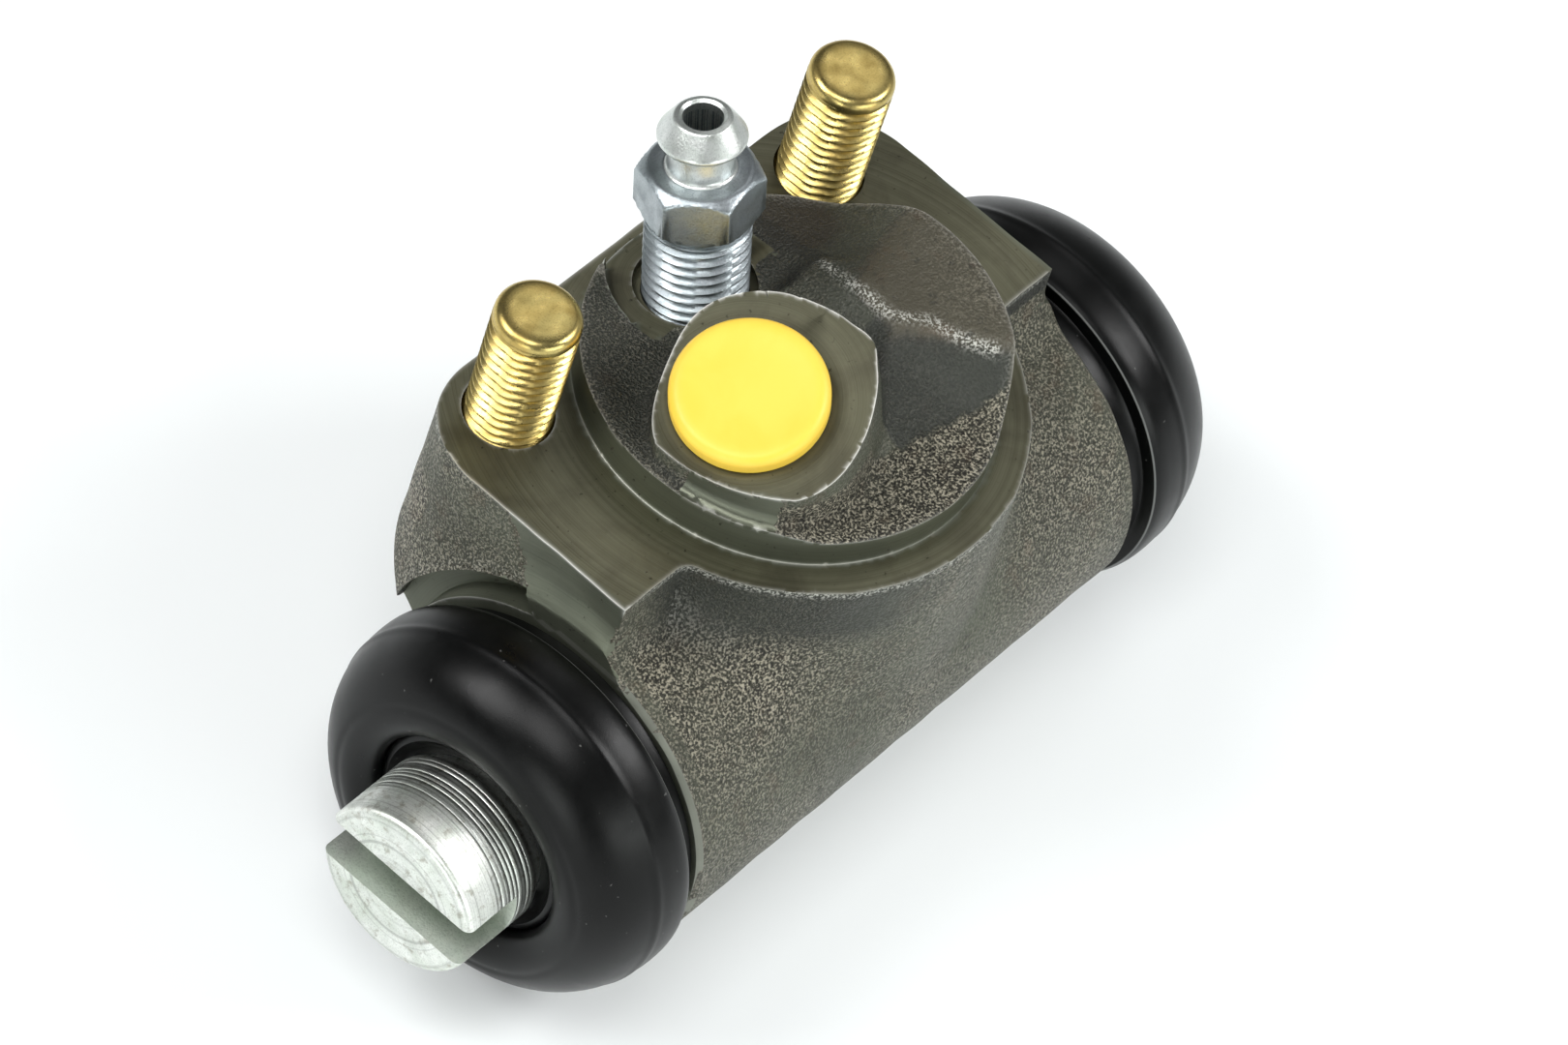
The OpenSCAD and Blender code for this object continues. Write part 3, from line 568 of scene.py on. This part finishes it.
def rubber():
    m, t, s = material("black_rubber", roughness=0.33, specular_ior_level=0.2)
    p = millimetres(t)
    cloud = noise(t, p, 0.18, 4.0, 0.6, 0.5)
    dust = noise(t, p, 1.9, 1.0, 0.4)
    grain = noise(t, p, 9.0, 2.0, 0.6)
    c = ramp(t, cloud, (0.35, (0.0007, 0.0008, 0.0008)), (0.7, (0.0018, 0.002, 0.0019)))
    c = mix(t, ramp(t, dust, (0.775, 0.0), (0.81, 0.6)), c, (0.13, 0.13, 0.125))
    # painted highlight along the edge of the boot's rim
    c = mix(t, attribute(t, "rim"), c, (0.15, 0.155, 0.15))
    t.links.new(c, s.inputs["Base Color"])
    t.links.new(ramp(t, cloud, (0.3, 0.27), (0.7, 0.38)), s.inputs["Roughness"])
    bump(t, s, grain, 0.12, 0.00008)
    return m


def plastic():
    m, t, s = material("yellow_plastic", roughness=0.45)
    p = millimetres(t)
    cloud = noise(t, p, 0.22, 3.0, 0.5, 0.8)
    grain = noise(t, p, 5.0, 2.0, 0.5)
    c = ramp(t, cloud, (0.35, (0.87, 0.58, 0.06)), (0.65, (0.89, 0.61, 0.075)))
    t.links.new(c, s.inputs["Base Color"])
    t.links.new(ramp(t, grain, (0.3, 0.5), (0.7, 0.4)), s.inputs["Roughness"])
    bump(t, s, grain, 0.08, 0.00008)
    return m


def spring_steel():
    m, t, s = material("spring_steel", metallic=1.0, roughness=0.4)
    p = millimetres(t)
    cloud = noise(t, p, 0.6, 3.0, 0.5)
    t.links.new(ramp(t, cloud, (0.3, (0.26, 0.265, 0.27)), (0.7, (0.42, 0.425, 0.43))), s.inputs["Base Color"])
    t.links.new(ramp(t, cloud, (0.3, 0.5), (0.7, 0.32)), s.inputs["Roughness"])
    bump(t, s, noise(t, p, 5.0), 0.15, 0.00005)
    return m


CAST, MACHINED = cast_iron(), machined_iron()
GOLD = zinc("gold_zinc", (0.44, 0.32, 0.10), (0.60, 0.47, 0.17), (0.50, 0.41, 0.155), 0.29, dents=0.08)
# the bleed screw's zinc in a darker copy for the hex and thread and a lighter copy for the barb, which paints the light
# the barb catches from above
SILVER = zinc("silver_zinc", (0.28, 0.31, 0.33), (0.44, 0.48, 0.50), (0.32, 0.37, 0.38), 0.36)
BARB = zinc("barb_zinc_lit", (0.56, 0.59, 0.57), (0.78, 0.80, 0.78), (0.60, 0.65, 0.60), 0.36)
TURNED = zinc("turned_zinc", (0.68, 0.71, 0.66), (0.90, 0.92, 0.88), (0.70, 0.75, 0.67), 0.43, True)
MILLED = zinc("milled_zinc", (0.40, 0.44, 0.39), (0.62, 0.65, 0.59), (0.46, 0.52, 0.44), 0.46)
RUBBER, PLASTIC, STEEL = rubber(), plastic(), spring_steel()


# Meshes

def mesh_object(name, verts, faces, materials, sharp=math.radians(32)):
    """A smooth-shaded object with sharp edges above an angle."""
    me = bpy.data.meshes.new(name)
    me.from_pydata([tuple(v) for v in verts], [], [tuple(int(i) for i in f) for f in faces])
    me.validate()
    for m in materials:
        me.materials.append(m)
    me.polygons.foreach_set("use_smooth", np.ones(len(me.polygons), bool))
    me.set_sharp_from_angle(angle=sharp)
    o = bpy.data.objects.new(name, me)
    bpy.context.scene.collection.objects.link(o)
    return o


def point_values(me, name, values):
    """Store one number a vertex, for the materials to read."""
    data = me.attributes.new(name, "FLOAT", "POINT").data
    data.foreach_set("value", np.asarray(values, np.float32))


def rings(rows, closed):
    """Vertices and faces of a skin through rings of points; unless the skin is closed, a fan closes each end."""
    rows = np.asarray(rows, float)
    k, n = rows.shape[:2]
    verts = list(rows.reshape(-1, 3))
    faces = []
    for i in range(k if closed else k - 1):
        a, b = i * n, ((i + 1) % k) * n
        for j in range(n):
            h = (j + 1) % n
            faces.append((a + j, a + h, b + h, b + j))
    if not closed:
        for base, order in ((0, -1), ((k - 1) * n, 1)):
            mid = len(verts)
            verts.append(rows.reshape(-1, 3)[base:base + n].mean(0))
            for j in range(n):
                h = (j + 1) % n
                faces.append((base + j, base + h, mid) if order > 0 else (base + h, base + j, mid))
    return verts, faces


def polar(name, profile, place, materials, count, closed=False, turn=0.0):
    """A turned or threaded piece: profile is a list of (distance along the axis, radius or function of angle)."""
    theta = turn + 2 * math.pi * np.arange(count) / count
    rows = []
    for t, r in profile:
        radius = r(theta) if callable(r) else np.full(count, float(r))
        rows.append(np.stack([radius * np.cos(theta), radius * np.sin(theta), np.full(count, float(t))], 1))
    verts, faces = rings(rows, closed)
    world = [MM * (place @ Vector(v)) for v in verts]
    return mesh_object(name, world, faces, materials)


def along(origin, axis, side):
    """Matrix that lays local +Z along axis from origin, with local +X along side."""
    z, x = Vector(axis).normalized(), Vector(side)
    x = (x - x.dot(z) * z).normalized()
    m = Matrix((x, z.cross(x), z)).transposed().to_4x4()
    m.translation = Vector(origin)
    return m


def arc(u, v, ru, rv, a0, a1, n):
    """Points on part of an ellipse, from angle a0 to a1 in degrees."""
    angles = np.radians(np.linspace(a0, a1, n + 1))
    return [(u + ru * math.cos(a), v + rv * math.sin(a)) for a in angles]


def thread(t, crest, start, stop, fade=0.8):
    """Radius round a threaded bar at distance t: flat crest and root, 60 degree flanks, fading at its ends."""
    share = min(1.0, max(0.0, (t - start) / fade), max(0.0, (stop - t) / fade))

    def radius(theta):
        phase = (t / PITCH - theta / (2 * math.pi)) % 1.0
        return crest - THREAD_DEPTH * share * np.clip((np.abs(2 * phase - 1) - 0.16) / 0.62, 0, 1)
    return radius


# Casting

GRID_LOW, GRID_HIGH, GRID_STEP = (-34.77, -24.0, -43.2), (34.6, 21.6, 13.6), 0.5
vertices, triangles = contour(GRID_LOW, GRID_HIGH, GRID_STEP)
vx, vy, vz = vertices.T
first, second, third = (vertices[triangles[:, i]] for i in range(3))
middle = vertices[triangles].mean(1)
normals = np.cross(second - first, third - first)
normals /= np.linalg.norm(normals, axis=1)[:, None] + 1e-12
kind, lay = finish_of(middle, normals)
machined = kind > 0
body = mesh_object("casting", MM * vertices, triangles, [CAST, MACHINED], math.radians(38))
mesh = body.data
mesh.polygons.foreach_set("material_index", machined.astype(np.int32))
# distance across the tool marks at each corner of a face, taken from the face where the two disagree
lay_of = mesh.attributes.new("lay", "FLOAT", "CORNER")
corner_p = vertices[triangles].reshape(-1, 3)
_, corner_lay = finish_of(corner_p, np.repeat(normals, 3, 0))
corner_lay = np.where(np.abs(corner_lay - np.repeat(lay, 3)) < 2, corner_lay, np.repeat(lay, 3))
lay_of.data.foreach_set("value", corner_lay.astype(np.float32))
# painted highlights on the sharp outer edges beside a machined face, where a fine bevel would catch the light
pairs = np.sort(np.concatenate([triangles[:, [0, 1]], triangles[:, [1, 2]], triangles[:, [2, 0]]]), 1)
owner = np.tile(np.arange(len(triangles)), 3)
order = np.lexsort((pairs[:, 1], pairs[:, 0]))
pairs, owner = pairs[order], owner[order]
same = (pairs[1:] == pairs[:-1]).all(1)
fa, fb, pr = owner[:-1][same], owner[1:][same], pairs[:-1][same]
sharp = (normals[fa] * normals[fb]).sum(1) < math.cos(math.radians(42))
convex = ((middle[fb] - middle[fa]) * normals[fa]).sum(1) < 0
glinting_edges = sharp & convex & (machined[fa] | machined[fb])
# how bright the painted highlight on each edge is: mounting face, spigot, boss, spot-face, its wall, turned ends, lug
# ends, holes
BRIGHT = np.array([0.0, 0.78, 0.86, 0.97, 0.7, 0.7, 0.9, 0.7, 0.3, 0.3, 0.3, 0.3])
shine = np.maximum(BRIGHT[kind[fa]], BRIGHT[kind[fb]])[glinting_edges]
at = vertices[pr[glinting_edges]].mean(1)
at_x, at_y, at_z = at.T
lug_edge = (np.abs(at_x) > LUG_HALF - 0.6) & (np.abs(at_z) < 0.3)
shine = np.where(lug_edge, np.where(at_x < 0, 1.0, 0.2), shine)
relief_edge = (np.abs(at_x) > RELIEF_X - 0.3) & (at_z < -1) & (np.hypot(at_y - BORE_Y, at_z - BORE_Z) > BARREL_R + 0.3)
shine = np.where(relief_edge, 0, shine)
shine = np.where((at_x > 15) & (at_y > 4) & (np.abs(at_z) < 0.3), 0.2, shine)
edge_glint = np.zeros(len(vertices))
np.maximum.at(edge_glint, pr[glinting_edges].ravel(), np.repeat(shine, 2))
# the foot of the spigot glints on its left and front
round_r, turn = np.hypot(vx, vy), np.degrees(np.arctan2(vy, vx)) % 360
foot = (np.abs(round_r - SPIGOT_R) < 0.3) & (np.abs(vz) < 0.3)
glow = np.interp(turn, (120, 160, 240, 300), (0.4, 0.9, 0.88, 0.45))
edge_glint = np.where(foot, np.maximum(edge_glint, glow), edge_glint)
# the chamfer on the front of the barrel's ends glints less
from_rim = np.hypot(vy - BORE_Y, vz - BORE_Z) - BARREL_R
chamfer = (np.abs(vx) > BARREL_HALF - 0.62) & (np.abs(from_rim + 0.25) < 0.45) & (vy < BORE_Y + 6)
edge_glint = np.where(chamfer, 0.6, edge_glint)
point_values(mesh, "painted_edge_glint", edge_glint)
# how sharp the cast edges and corners are, from the distance field a little under and over the skin; it sets painted
# glints on the edges and painted shade in the corners
vertex_n = np.zeros_like(vertices)
for i in range(3):
    np.add.at(vertex_n, triangles[:, i], normals)
vertex_n /= np.linalg.norm(vertex_n, axis=1)[:, None] + 1e-12
REACH = 1.1
ridge = np.clip(1.6 * (1 + field(vertices - REACH * vertex_n) / REACH) - 0.25, 0, 1)
on_top = (vz > 2.5) & (round_r < SPIGOT_R + 0.2)
ridge = np.where(on_top, 0.15 * ridge, ridge)
ridge = np.where(np.abs(vx) > LUG_HALF - 1.5, 0.1 * ridge, ridge)
# a painted glint along the lump's upper edge
sparkle = np.exp(-(line_distance(vx, vy, LUMP_EDGE) / 0.45) ** 2)
ridge = np.where(on_top & (vz > 5.0), np.maximum(ridge, sparkle), ridge)
hollow = np.clip(1.5 * (1 - field(vertices + REACH * vertex_n) / REACH) - 0.15, 0, 1)
# the lump's plateau is browner, and the spigot, the spot-face's wall and the ends are paler where machined, which
# paints part of the highlight these surfaces catch
tone_and_sheen = np.zeros(len(vertices))
for i in range(3):
    np.maximum.at(tone_and_sheen, triangles[:, i], np.isin(kind, (2, 5, 6, 7)) * 1.0)
tone_and_sheen = np.where(on_top & (vz > 6.9) & (vx > 5), 1.0, tone_and_sheen)
for name, values in (("ridge", ridge), ("hollow", hollow), ("coarse", np.clip(grain_of(vertices), 0, 1)),
                     ("tone_and_sheen", tone_and_sheen), ("painted_shade", painted_shade_of(vertices))):
    point_values(mesh, name, values)
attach(body, "cylinder")
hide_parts("cylinder_body")

# Studs
for side, name in ((-1, "left_stud"), (1, "right_stud")):
    place = along((side * STUD_X, STUD_Y, 0), (0, 0, 1), (1, 0, 0))
    steps = np.arange(0.0, 13.0, PITCH / 9)
    profile = [(-STUD_IN, 3.2), (-STUD_IN + 0.9, STUD_ROOT_R), (-0.5, STUD_ROOT_R), (-0.02, STUD_R - 0.45)]
    profile += [(t, thread(t, STUD_R, -9, 13.2)) for t in steps]
    profile += [(13.05, STUD_R - 0.02)] + [(v, u) for u, v in arc(STUD_R - 1.0, 13.1, 0.98, 1.0, 4, 84, 7)]
    profile += [(STUD_OUT - 0.02, 2.4), (STUD_OUT - 0.05, 1.2)]
    stud = polar(name, profile, place, [GOLD], 72)
    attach(stud, "cylinder")
    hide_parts("mounting_studs")

# Bleed screw
HEX_AT, HEX_TOP, BARB_AT, BLEED_TOP, SCREW_BORE_R = 8.5, 13.2, 15.8, 19.1, 1.8
HEX_TURN, HEX_FLAT_R = math.radians(6), 5.0


def hexagon(limit):
    """Radius round a hexagon whose points are turned down to a limit."""
    def radius(theta):
        flat = (theta - HEX_TURN) % (math.pi / 3) - math.pi / 6
        return np.minimum(HEX_FLAT_R / np.cos(flat), limit)
    return radius


profile = [(-16.7, 1.6), (-14.0, 4.26), (-13.5, 4.3)]
profile += [(t, thread(t, BLEED_R, -13.4, 7.3, 0.5)) for t in np.arange(-13.4, 7.4, PITCH / 8)]
profile += [(7.5, BLEED_R - 0.25), (7.9, BLEED_R - 0.22), (8.0, BLEED_R)]
profile += [(HEX_AT + 0.75 * i / 3 - 0.5, hexagon(BLEED_R + 1.02 * i / 3)) for i in range(4)]
profile += [(HEX_TOP - 1.1 + 1.1 * i / 8, hexagon(5.80 - 1.2 * (i / 8) ** 1.4)) for i in range(9)]
profile += [(HEX_TOP + 0.02, 4.3), (HEX_TOP + 0.02, 3.4)]
profile += [(v, u) for u, v in arc(3.4, HEX_TOP + 0.47, 0.45, 0.45, 270, 180, 4)]
profile += [(BARB_AT - 0.1, 2.95), (BARB_AT + 0.1, 3.1), (BARB_AT + 0.6, 3.75)]
profile += [(v, u) for u, v in arc(3.55, BARB_AT + 1.05, 0.45, 0.45, -40, 40, 6)]
profile += [(BLEED_TOP - 0.55, 2.95)] + [(v, u) for u, v in arc(2.3, BLEED_TOP - 0.45, 0.45, 0.4, 20, 90, 4)]
profile += [(BLEED_TOP - 0.02, 2.1), (BLEED_TOP - 0.25, SCREW_BORE_R + 0.02), (BLEED_TOP - 1, SCREW_BORE_R),
            (HEX_AT, SCREW_BORE_R), (HEX_AT - 1.0, 0.6)]
screw = polar("bleed_screw_visual", profile, along(BLEED, BLEED_AXIS, (1, 0, 0)), [SILVER, BARB], 144, turn=HEX_TURN)
for face in screw.data.polygons:
    height = (Vector(face.center) / MM - Vector(BLEED)).dot(Vector(BLEED_AXIS))
    face.material_index = int(height > HEX_TOP + 0.1)
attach(screw, "bleeder")
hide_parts("bleed_screw")

# Transit plug
HEAD_R, HEAD_TOP = 7.05, 2.25
profile = [(-8.5, 2.2), (-8.5, 3.75), (-8.0, 4.24), (-0.2, 4.25), (0.05, 4.4), (0.05, HEAD_R - 0.25), (0.3, HEAD_R)]
profile += [(v, u) for u, v in arc(HEAD_R - 1.0, HEAD_TOP - 1.0, 1.0, 1.0, 0, 80, 8)]
profile += [(HEAD_TOP, HEAD_R - 1.2), (HEAD_TOP - 0.01, HEAD_R - 1.6), (HEAD_TOP - 0.09, HEAD_R - 2.2),
            (HEAD_TOP - 0.12, 3.0), (HEAD_TOP - 0.13, 1.0)]
plug = polar("plug_visual", profile, along(INLET, INLET_AXIS, INLET_U), [PLASTIC], 96)
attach(plug, "plug")
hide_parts("inlet_plug")

# Boots
BOOT_COUNT = 128


def boot(name, side, crown, inward, node_name):
    """A dust boot: its foot on the barrel, its lip round the nose; profiles as (distance along the bore, radius)."""
    lip_r, collar, rim_r = 7.5, 8.95, 16.05
    wide, wide_r, ridge, dish_r, wall = 34.4, 18.6, 12.5, 10.2, 1.3
    dish, lip = 40.7 - inward, 39.2 - inward
    fold = min(crown - dish, ridge - dish_r)
    outer = [(30.45, 16.75), (32.0, 16.75), (32.3, 16.9), (32.4, 17.2), (32.4, 18.08), (32.42, 18.17), (32.47, 18.24),
             (32.55, 18.28)]
    outer += arc(wide - 0.2, 18.2, 1.6, 0.4, 155, 95, 6)
    outer += arc(wide, ridge, crown - wide, wide_r - ridge, 88, 0, 64)
    outer += arc(crown - fold, ridge, fold, ridge - dish_r, -6, -84, 14)
    outer += arc(dish - 0.55, 9.15, 0.55, dish_r - 9.15, 80, 15, 6)
    outer += [(lip + 0.75, 8.7), (lip + 0.6, 8.3), (lip + 0.5, lip_r)]
    # a shallow crease beside the crown and a faint rib on the flank
    outer = [(u - 0.07 * math.exp(-((v - 13.7) / 0.4) ** 2) * (u > crown - 1.5),
              v + 0.10 * math.exp(-((u - 36.6) / 0.4) ** 2) * (v > 16)) for u, v in outer]
    inner = [(lip, lip_r), (lip, collar), (dish - wall, dish_r)]
    inner += arc(crown - fold, ridge, fold - wall, ridge - dish_r - wall, -80, 0, 6)
    inner += arc(wide, ridge, crown - wide - wall, wide_r - wall - ridge, 8, 90, 16)
    inner += [(33.75, rim_r + 0.5), (33.2, rim_r), (32.85, rim_r), (32.35, rim_r - 0.5), (32.35, 15.25),
              (30.45, 15.25)]
    place = along((0, BORE_Y, BORE_Z), (side, 0, 0), (0, 0, 1))
    o = polar(name, outer + inner, place, [RUBBER], BOOT_COUNT, closed=True)
    # painted highlight: a light line along the edge of the rim
    rim_highlight = [float(18.0 < v < 18.27 and 32.4 < u < 32.5) for u, v in outer + inner]
    point_values(o.data, "rim", np.repeat(rim_highlight, BOOT_COUNT))
    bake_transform(o)
    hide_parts(node_name)


boot("left_boot_visual", -1, 42.4, 0.0, "left_boot")
boot("right_boot_visual", 1, 43.9, RIGHT_IN, "right_boot")

# Pistons
SLOT_HALF, SLOT_DEPTH = 2.4, 6.3
RING_DEPTHS = (0.04, 0.06, 0.02, 0.06, 0.04, 0.05, 0.02, 0.04, 0.02, 0.02)


def piston(name, side, inward, node_name, body_name):
    """A piston: turned, with fine rings on its nose, and slotted for the shoe."""
    start, end, head_r, nose_r, nose_end, lip = 13.5, 30.5, 12.65, 8.45, 50.2, 39.2
    profile = [(start, 6.0), (start, head_r - 0.8), (start + 0.8, head_r), (end - 0.8, head_r), (end, head_r - 0.8),
               (end, nose_r), (lip - 0.1, nose_r), (lip - 0.1, 7.45), (lip + 2.0, 7.45), (lip + 2.0, nose_r - 0.1)]
    for i, depth in enumerate(RING_DEPTHS):
        at = lip + 2.4 + 0.52 * i
        profile += [(at, nose_r), (at + 0.30, nose_r), (at + 0.40, nose_r - depth)]
    profile += [(nose_end - 1.6, nose_r)]
    profile += [(nose_end - 0.8 + v, nose_r - 0.9 + u) for v, u in arc(0, 0, 0.8, 0.9, 90, 8, 8)]
    profile += [(nose_end, nose_r - 1.0), (nose_end, 4.0)]
    profile = [(t - inward, r) for t, r in profile]
    o = polar(name, profile, along((0, BORE_Y, BORE_Z), (side, 0, 0), (0, 0, 1)), [TURNED], 160)
    cut = bpy.data.meshes.new("cutter")
    x0, x1 = side * (nose_end - SLOT_DEPTH - inward), side * (nose_end + 2)
    box = [(x, BORE_Y + y, BORE_Z + z) for x in sorted((x0, x1)) for y in (-12, 12) for z in (-SLOT_HALF, SLOT_HALF)]
    cut.from_pydata([MM * Vector(v) for v in box], [],
                    [(0, 1, 3, 2), (4, 6, 7, 5), (0, 4, 5, 1), (2, 3, 7, 6), (0, 2, 6, 4), (1, 5, 7, 3)])
    cutter = bpy.data.objects.new("cutter", cut)
    bpy.context.scene.collection.objects.link(cutter)
    slot = o.modifiers.new("slot", "BOOLEAN")
    slot.operation, slot.solver, slot.object = "DIFFERENCE", "EXACT", cutter
    bevel = o.modifiers.new("edges", "BEVEL")
    bevel.width, bevel.segments = 0.00012, 2
    bevel.limit_method, bevel.angle_limit = "ANGLE", math.radians(60)
    me = bpy.data.meshes.new_from_object(o.evaluated_get(bpy.context.evaluated_depsgraph_get()))
    o.modifiers.clear()
    o.data = me
    bpy.data.objects.remove(cutter)
    me.polygons.foreach_set("use_smooth", np.ones(len(me.polygons), bool))
    me.set_sharp_from_angle(angle=math.radians(35))
    me.materials.append(MILLED)
    for f in me.polygons:
        from_end = nose_end - inward - abs(f.center.x) / MM
        f.material_index = int(abs(f.center.z / MM - BORE_Z) < SLOT_HALF + 0.003 and 0.05 < from_end < SLOT_DEPTH + 0.1)
    # distance across the turning marks: along the bore, or out from it on the end
    values = []
    for f in me.polygons:
        for i in f.vertices:
            x, y, z = me.vertices[i].co / MM
            values.append(0.3 * math.hypot(y - BORE_Y, z - BORE_Z) + 100 if abs(f.normal.x) > 0.7 else x)
    me.attributes.new("lay", "FLOAT", "CORNER").data.foreach_set("value", values)
    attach(o, body_name)
    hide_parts(node_name)


piston("left_piston_visual", -1, 0.0, "left_piston", "left_piston_set")
piston("right_piston_visual", 1, RIGHT_IN, "right_piston", "right_piston_set")

# Return spring: round wire with ground ends, in two halves
COIL_R, WIRE_R, COIL_TURNS, SPRING_LEFT, SPRING_RIGHT, SPRING_MID = 6.7, 0.6, 5.5, -9.95, 8.15, -0.9


def spring_half(name, first, last):
    """The wire between two places along the bore."""
    around = 2 * math.pi * np.arange(12) / 12
    rows = []
    for x in np.linspace(first, last, 120):
        a = 2 * math.pi * COIL_TURNS * (x - SPRING_LEFT) / (SPRING_RIGHT - SPRING_LEFT)
        out = COIL_R + WIRE_R * np.cos(around)
        level = np.clip(x - WIRE_R * np.sin(around), SPRING_LEFT, SPRING_RIGHT)
        rows.append(np.stack([level, BORE_Y + out * math.cos(a), BORE_Z + out * math.sin(a)], 1))
    verts, faces = rings(rows, False)
    o = mesh_object(name, MM * np.array(verts), faces, [STEEL])
    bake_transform(o)
    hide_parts("return_spring")


spring_half("spring_left_half", SPRING_LEFT, SPRING_MID)
spring_half("spring_right_half", SPRING_MID, SPRING_RIGHT)

# Cups and expanders inside the bore keep their solids' shapes
for name, mat in (("left_cup_seal", RUBBER), ("right_cup_seal", RUBBER), ("left_cup_expander", STEEL),
                  ("right_cup_expander", STEEL)):
    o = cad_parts[name]
    o.data.materials.clear()
    o.data.materials.append(mat)

# Floor, light and camera
FLOOR_Z, FLOOR_HALF = -0.04315, 4
floor_mesh = bpy.data.meshes.new("floor")
floor_corners = [(FLOOR_HALF * a, FLOOR_HALF * b, FLOOR_Z) for a, b in ((-1, -1), (1, -1), (1, 1), (-1, 1))]
floor_mesh.from_pydata(floor_corners, [], [(0, 1, 2, 3)])
floor = bpy.data.objects.new("floor", floor_mesh)
bpy.context.scene.collection.objects.link(floor)
m = bpy.data.materials.new("floor")
m.use_nodes = True
t = m.node_tree
t.nodes.clear()
# a share of plain white for the camera and in reflections keeps the floor pale; the rest takes the shadow
WHITE_SHARE = 0.2
path = node(t, "ShaderNodeLightPath")
seen = math_node(t, "MAXIMUM", path.outputs["Is Camera Ray"],
                 math_node(t, "MAXIMUM", path.outputs["Is Glossy Ray"], path.outputs["Is Transmission Ray"]))
glow = node(t, "ShaderNodeEmission", {"Color": (0.985, 0.995, 1.0, 1), "Strength": 1.0})
matte = node(t, "ShaderNodeBsdfDiffuse", {"Color": (0.90, 0.93, 0.93, 1)})
share = math_node(t, "MULTIPLY", seen, WHITE_SHARE)
both = node(t, "ShaderNodeMixShader", {0: share, 1: matte.outputs[0], 2: glow.outputs[0]})
node(t, "ShaderNodeOutputMaterial", {"Surface": both.outputs[0]})
floor_mesh.materials.append(m)

# white at the horizon, dim above it, so that the lamps shape the metal
world = bpy.data.worlds.new("studio")
bpy.context.scene.world = world
world.use_nodes = True
t = world.node_tree
where = node(t, "ShaderNodeTexCoord")
height = node(t, "ShaderNodeSeparateXYZ", {0: where.outputs["Generated"]}).outputs["Z"]
sky = ramp(t, math_node(t, "MAXIMUM", height, 0.0), (0.0, (0.98, 1.0, 1.0)), (0.05, (0.50, 0.52, 0.52)),
           (0.14, (0.13, 0.134, 0.135)), (1.0, (0.12, 0.12, 0.124)))
t.links.new(sky, t.nodes["Background"].inputs["Color"])
t.nodes["Background"].inputs["Strength"].default_value = 1.0

LAMP_TARGET = Vector((0, 0, -0.01))


def area(name, place, size, power, colour=(1, 1, 1)):
    """A soft rectangular lamp that points at the part's middle."""
    data = bpy.data.lights.new(name, "AREA")
    data.shape, data.size, data.size_y = "RECTANGLE", size[0], size[1]
    data.energy, data.color = power, colour
    o = bpy.data.objects.new(name, data)
    o.location = place
    o.rotation_euler = (LAMP_TARGET - Vector(place)).to_track_quat("-Z", "Y").to_euler()
    bpy.context.scene.collection.objects.link(o)


area("left", (-0.44, 0.44, 0.60), (0.45, 0.45), 4.9)
area("right", (0.45, -0.47, 0.60), (0.35, 0.35), 4.3)
area("above", (-0.34, -0.06, 0.74), (0.35, 0.35), 2.6)
area("back", (0.62, 0.30, 0.86), (0.40, 0.40), 0.75)
area("front", (-0.10, -0.75, 0.22), (0.60, 0.30), 2.2, colour=(0.96, 1.0, 0.98))
area("side", (-0.75, -0.20, 0.16), (0.30, 0.30), 1.3, colour=(0.96, 1.0, 0.98))

# the camera that was fitted to the photo: its three directions, place and lens
RIGHT, DOWN, AHEAD = (0.6416, -0.7362, 0.2155), (-0.5168, -0.6224, -0.5878), (0.5668, 0.2658, -0.7798)
camera = bpy.data.objects.new("camera", bpy.data.cameras.new("camera"))
bpy.context.scene.collection.objects.link(camera)
view = Matrix((Vector(RIGHT), -Vector(DOWN), -Vector(AHEAD))).transposed().to_4x4()
view.translation = Vector((-0.4851, -0.2319, 0.6520))
camera.matrix_world = view
camera.data.lens, camera.data.sensor_width = 222.3, 36
camera.data.clip_start, camera.data.clip_end = 0.01, 20
bpy.context.scene.camera = camera
bpy.context.scene.view_settings.view_transform = "Standard"

bpy.context.view_layer.update()
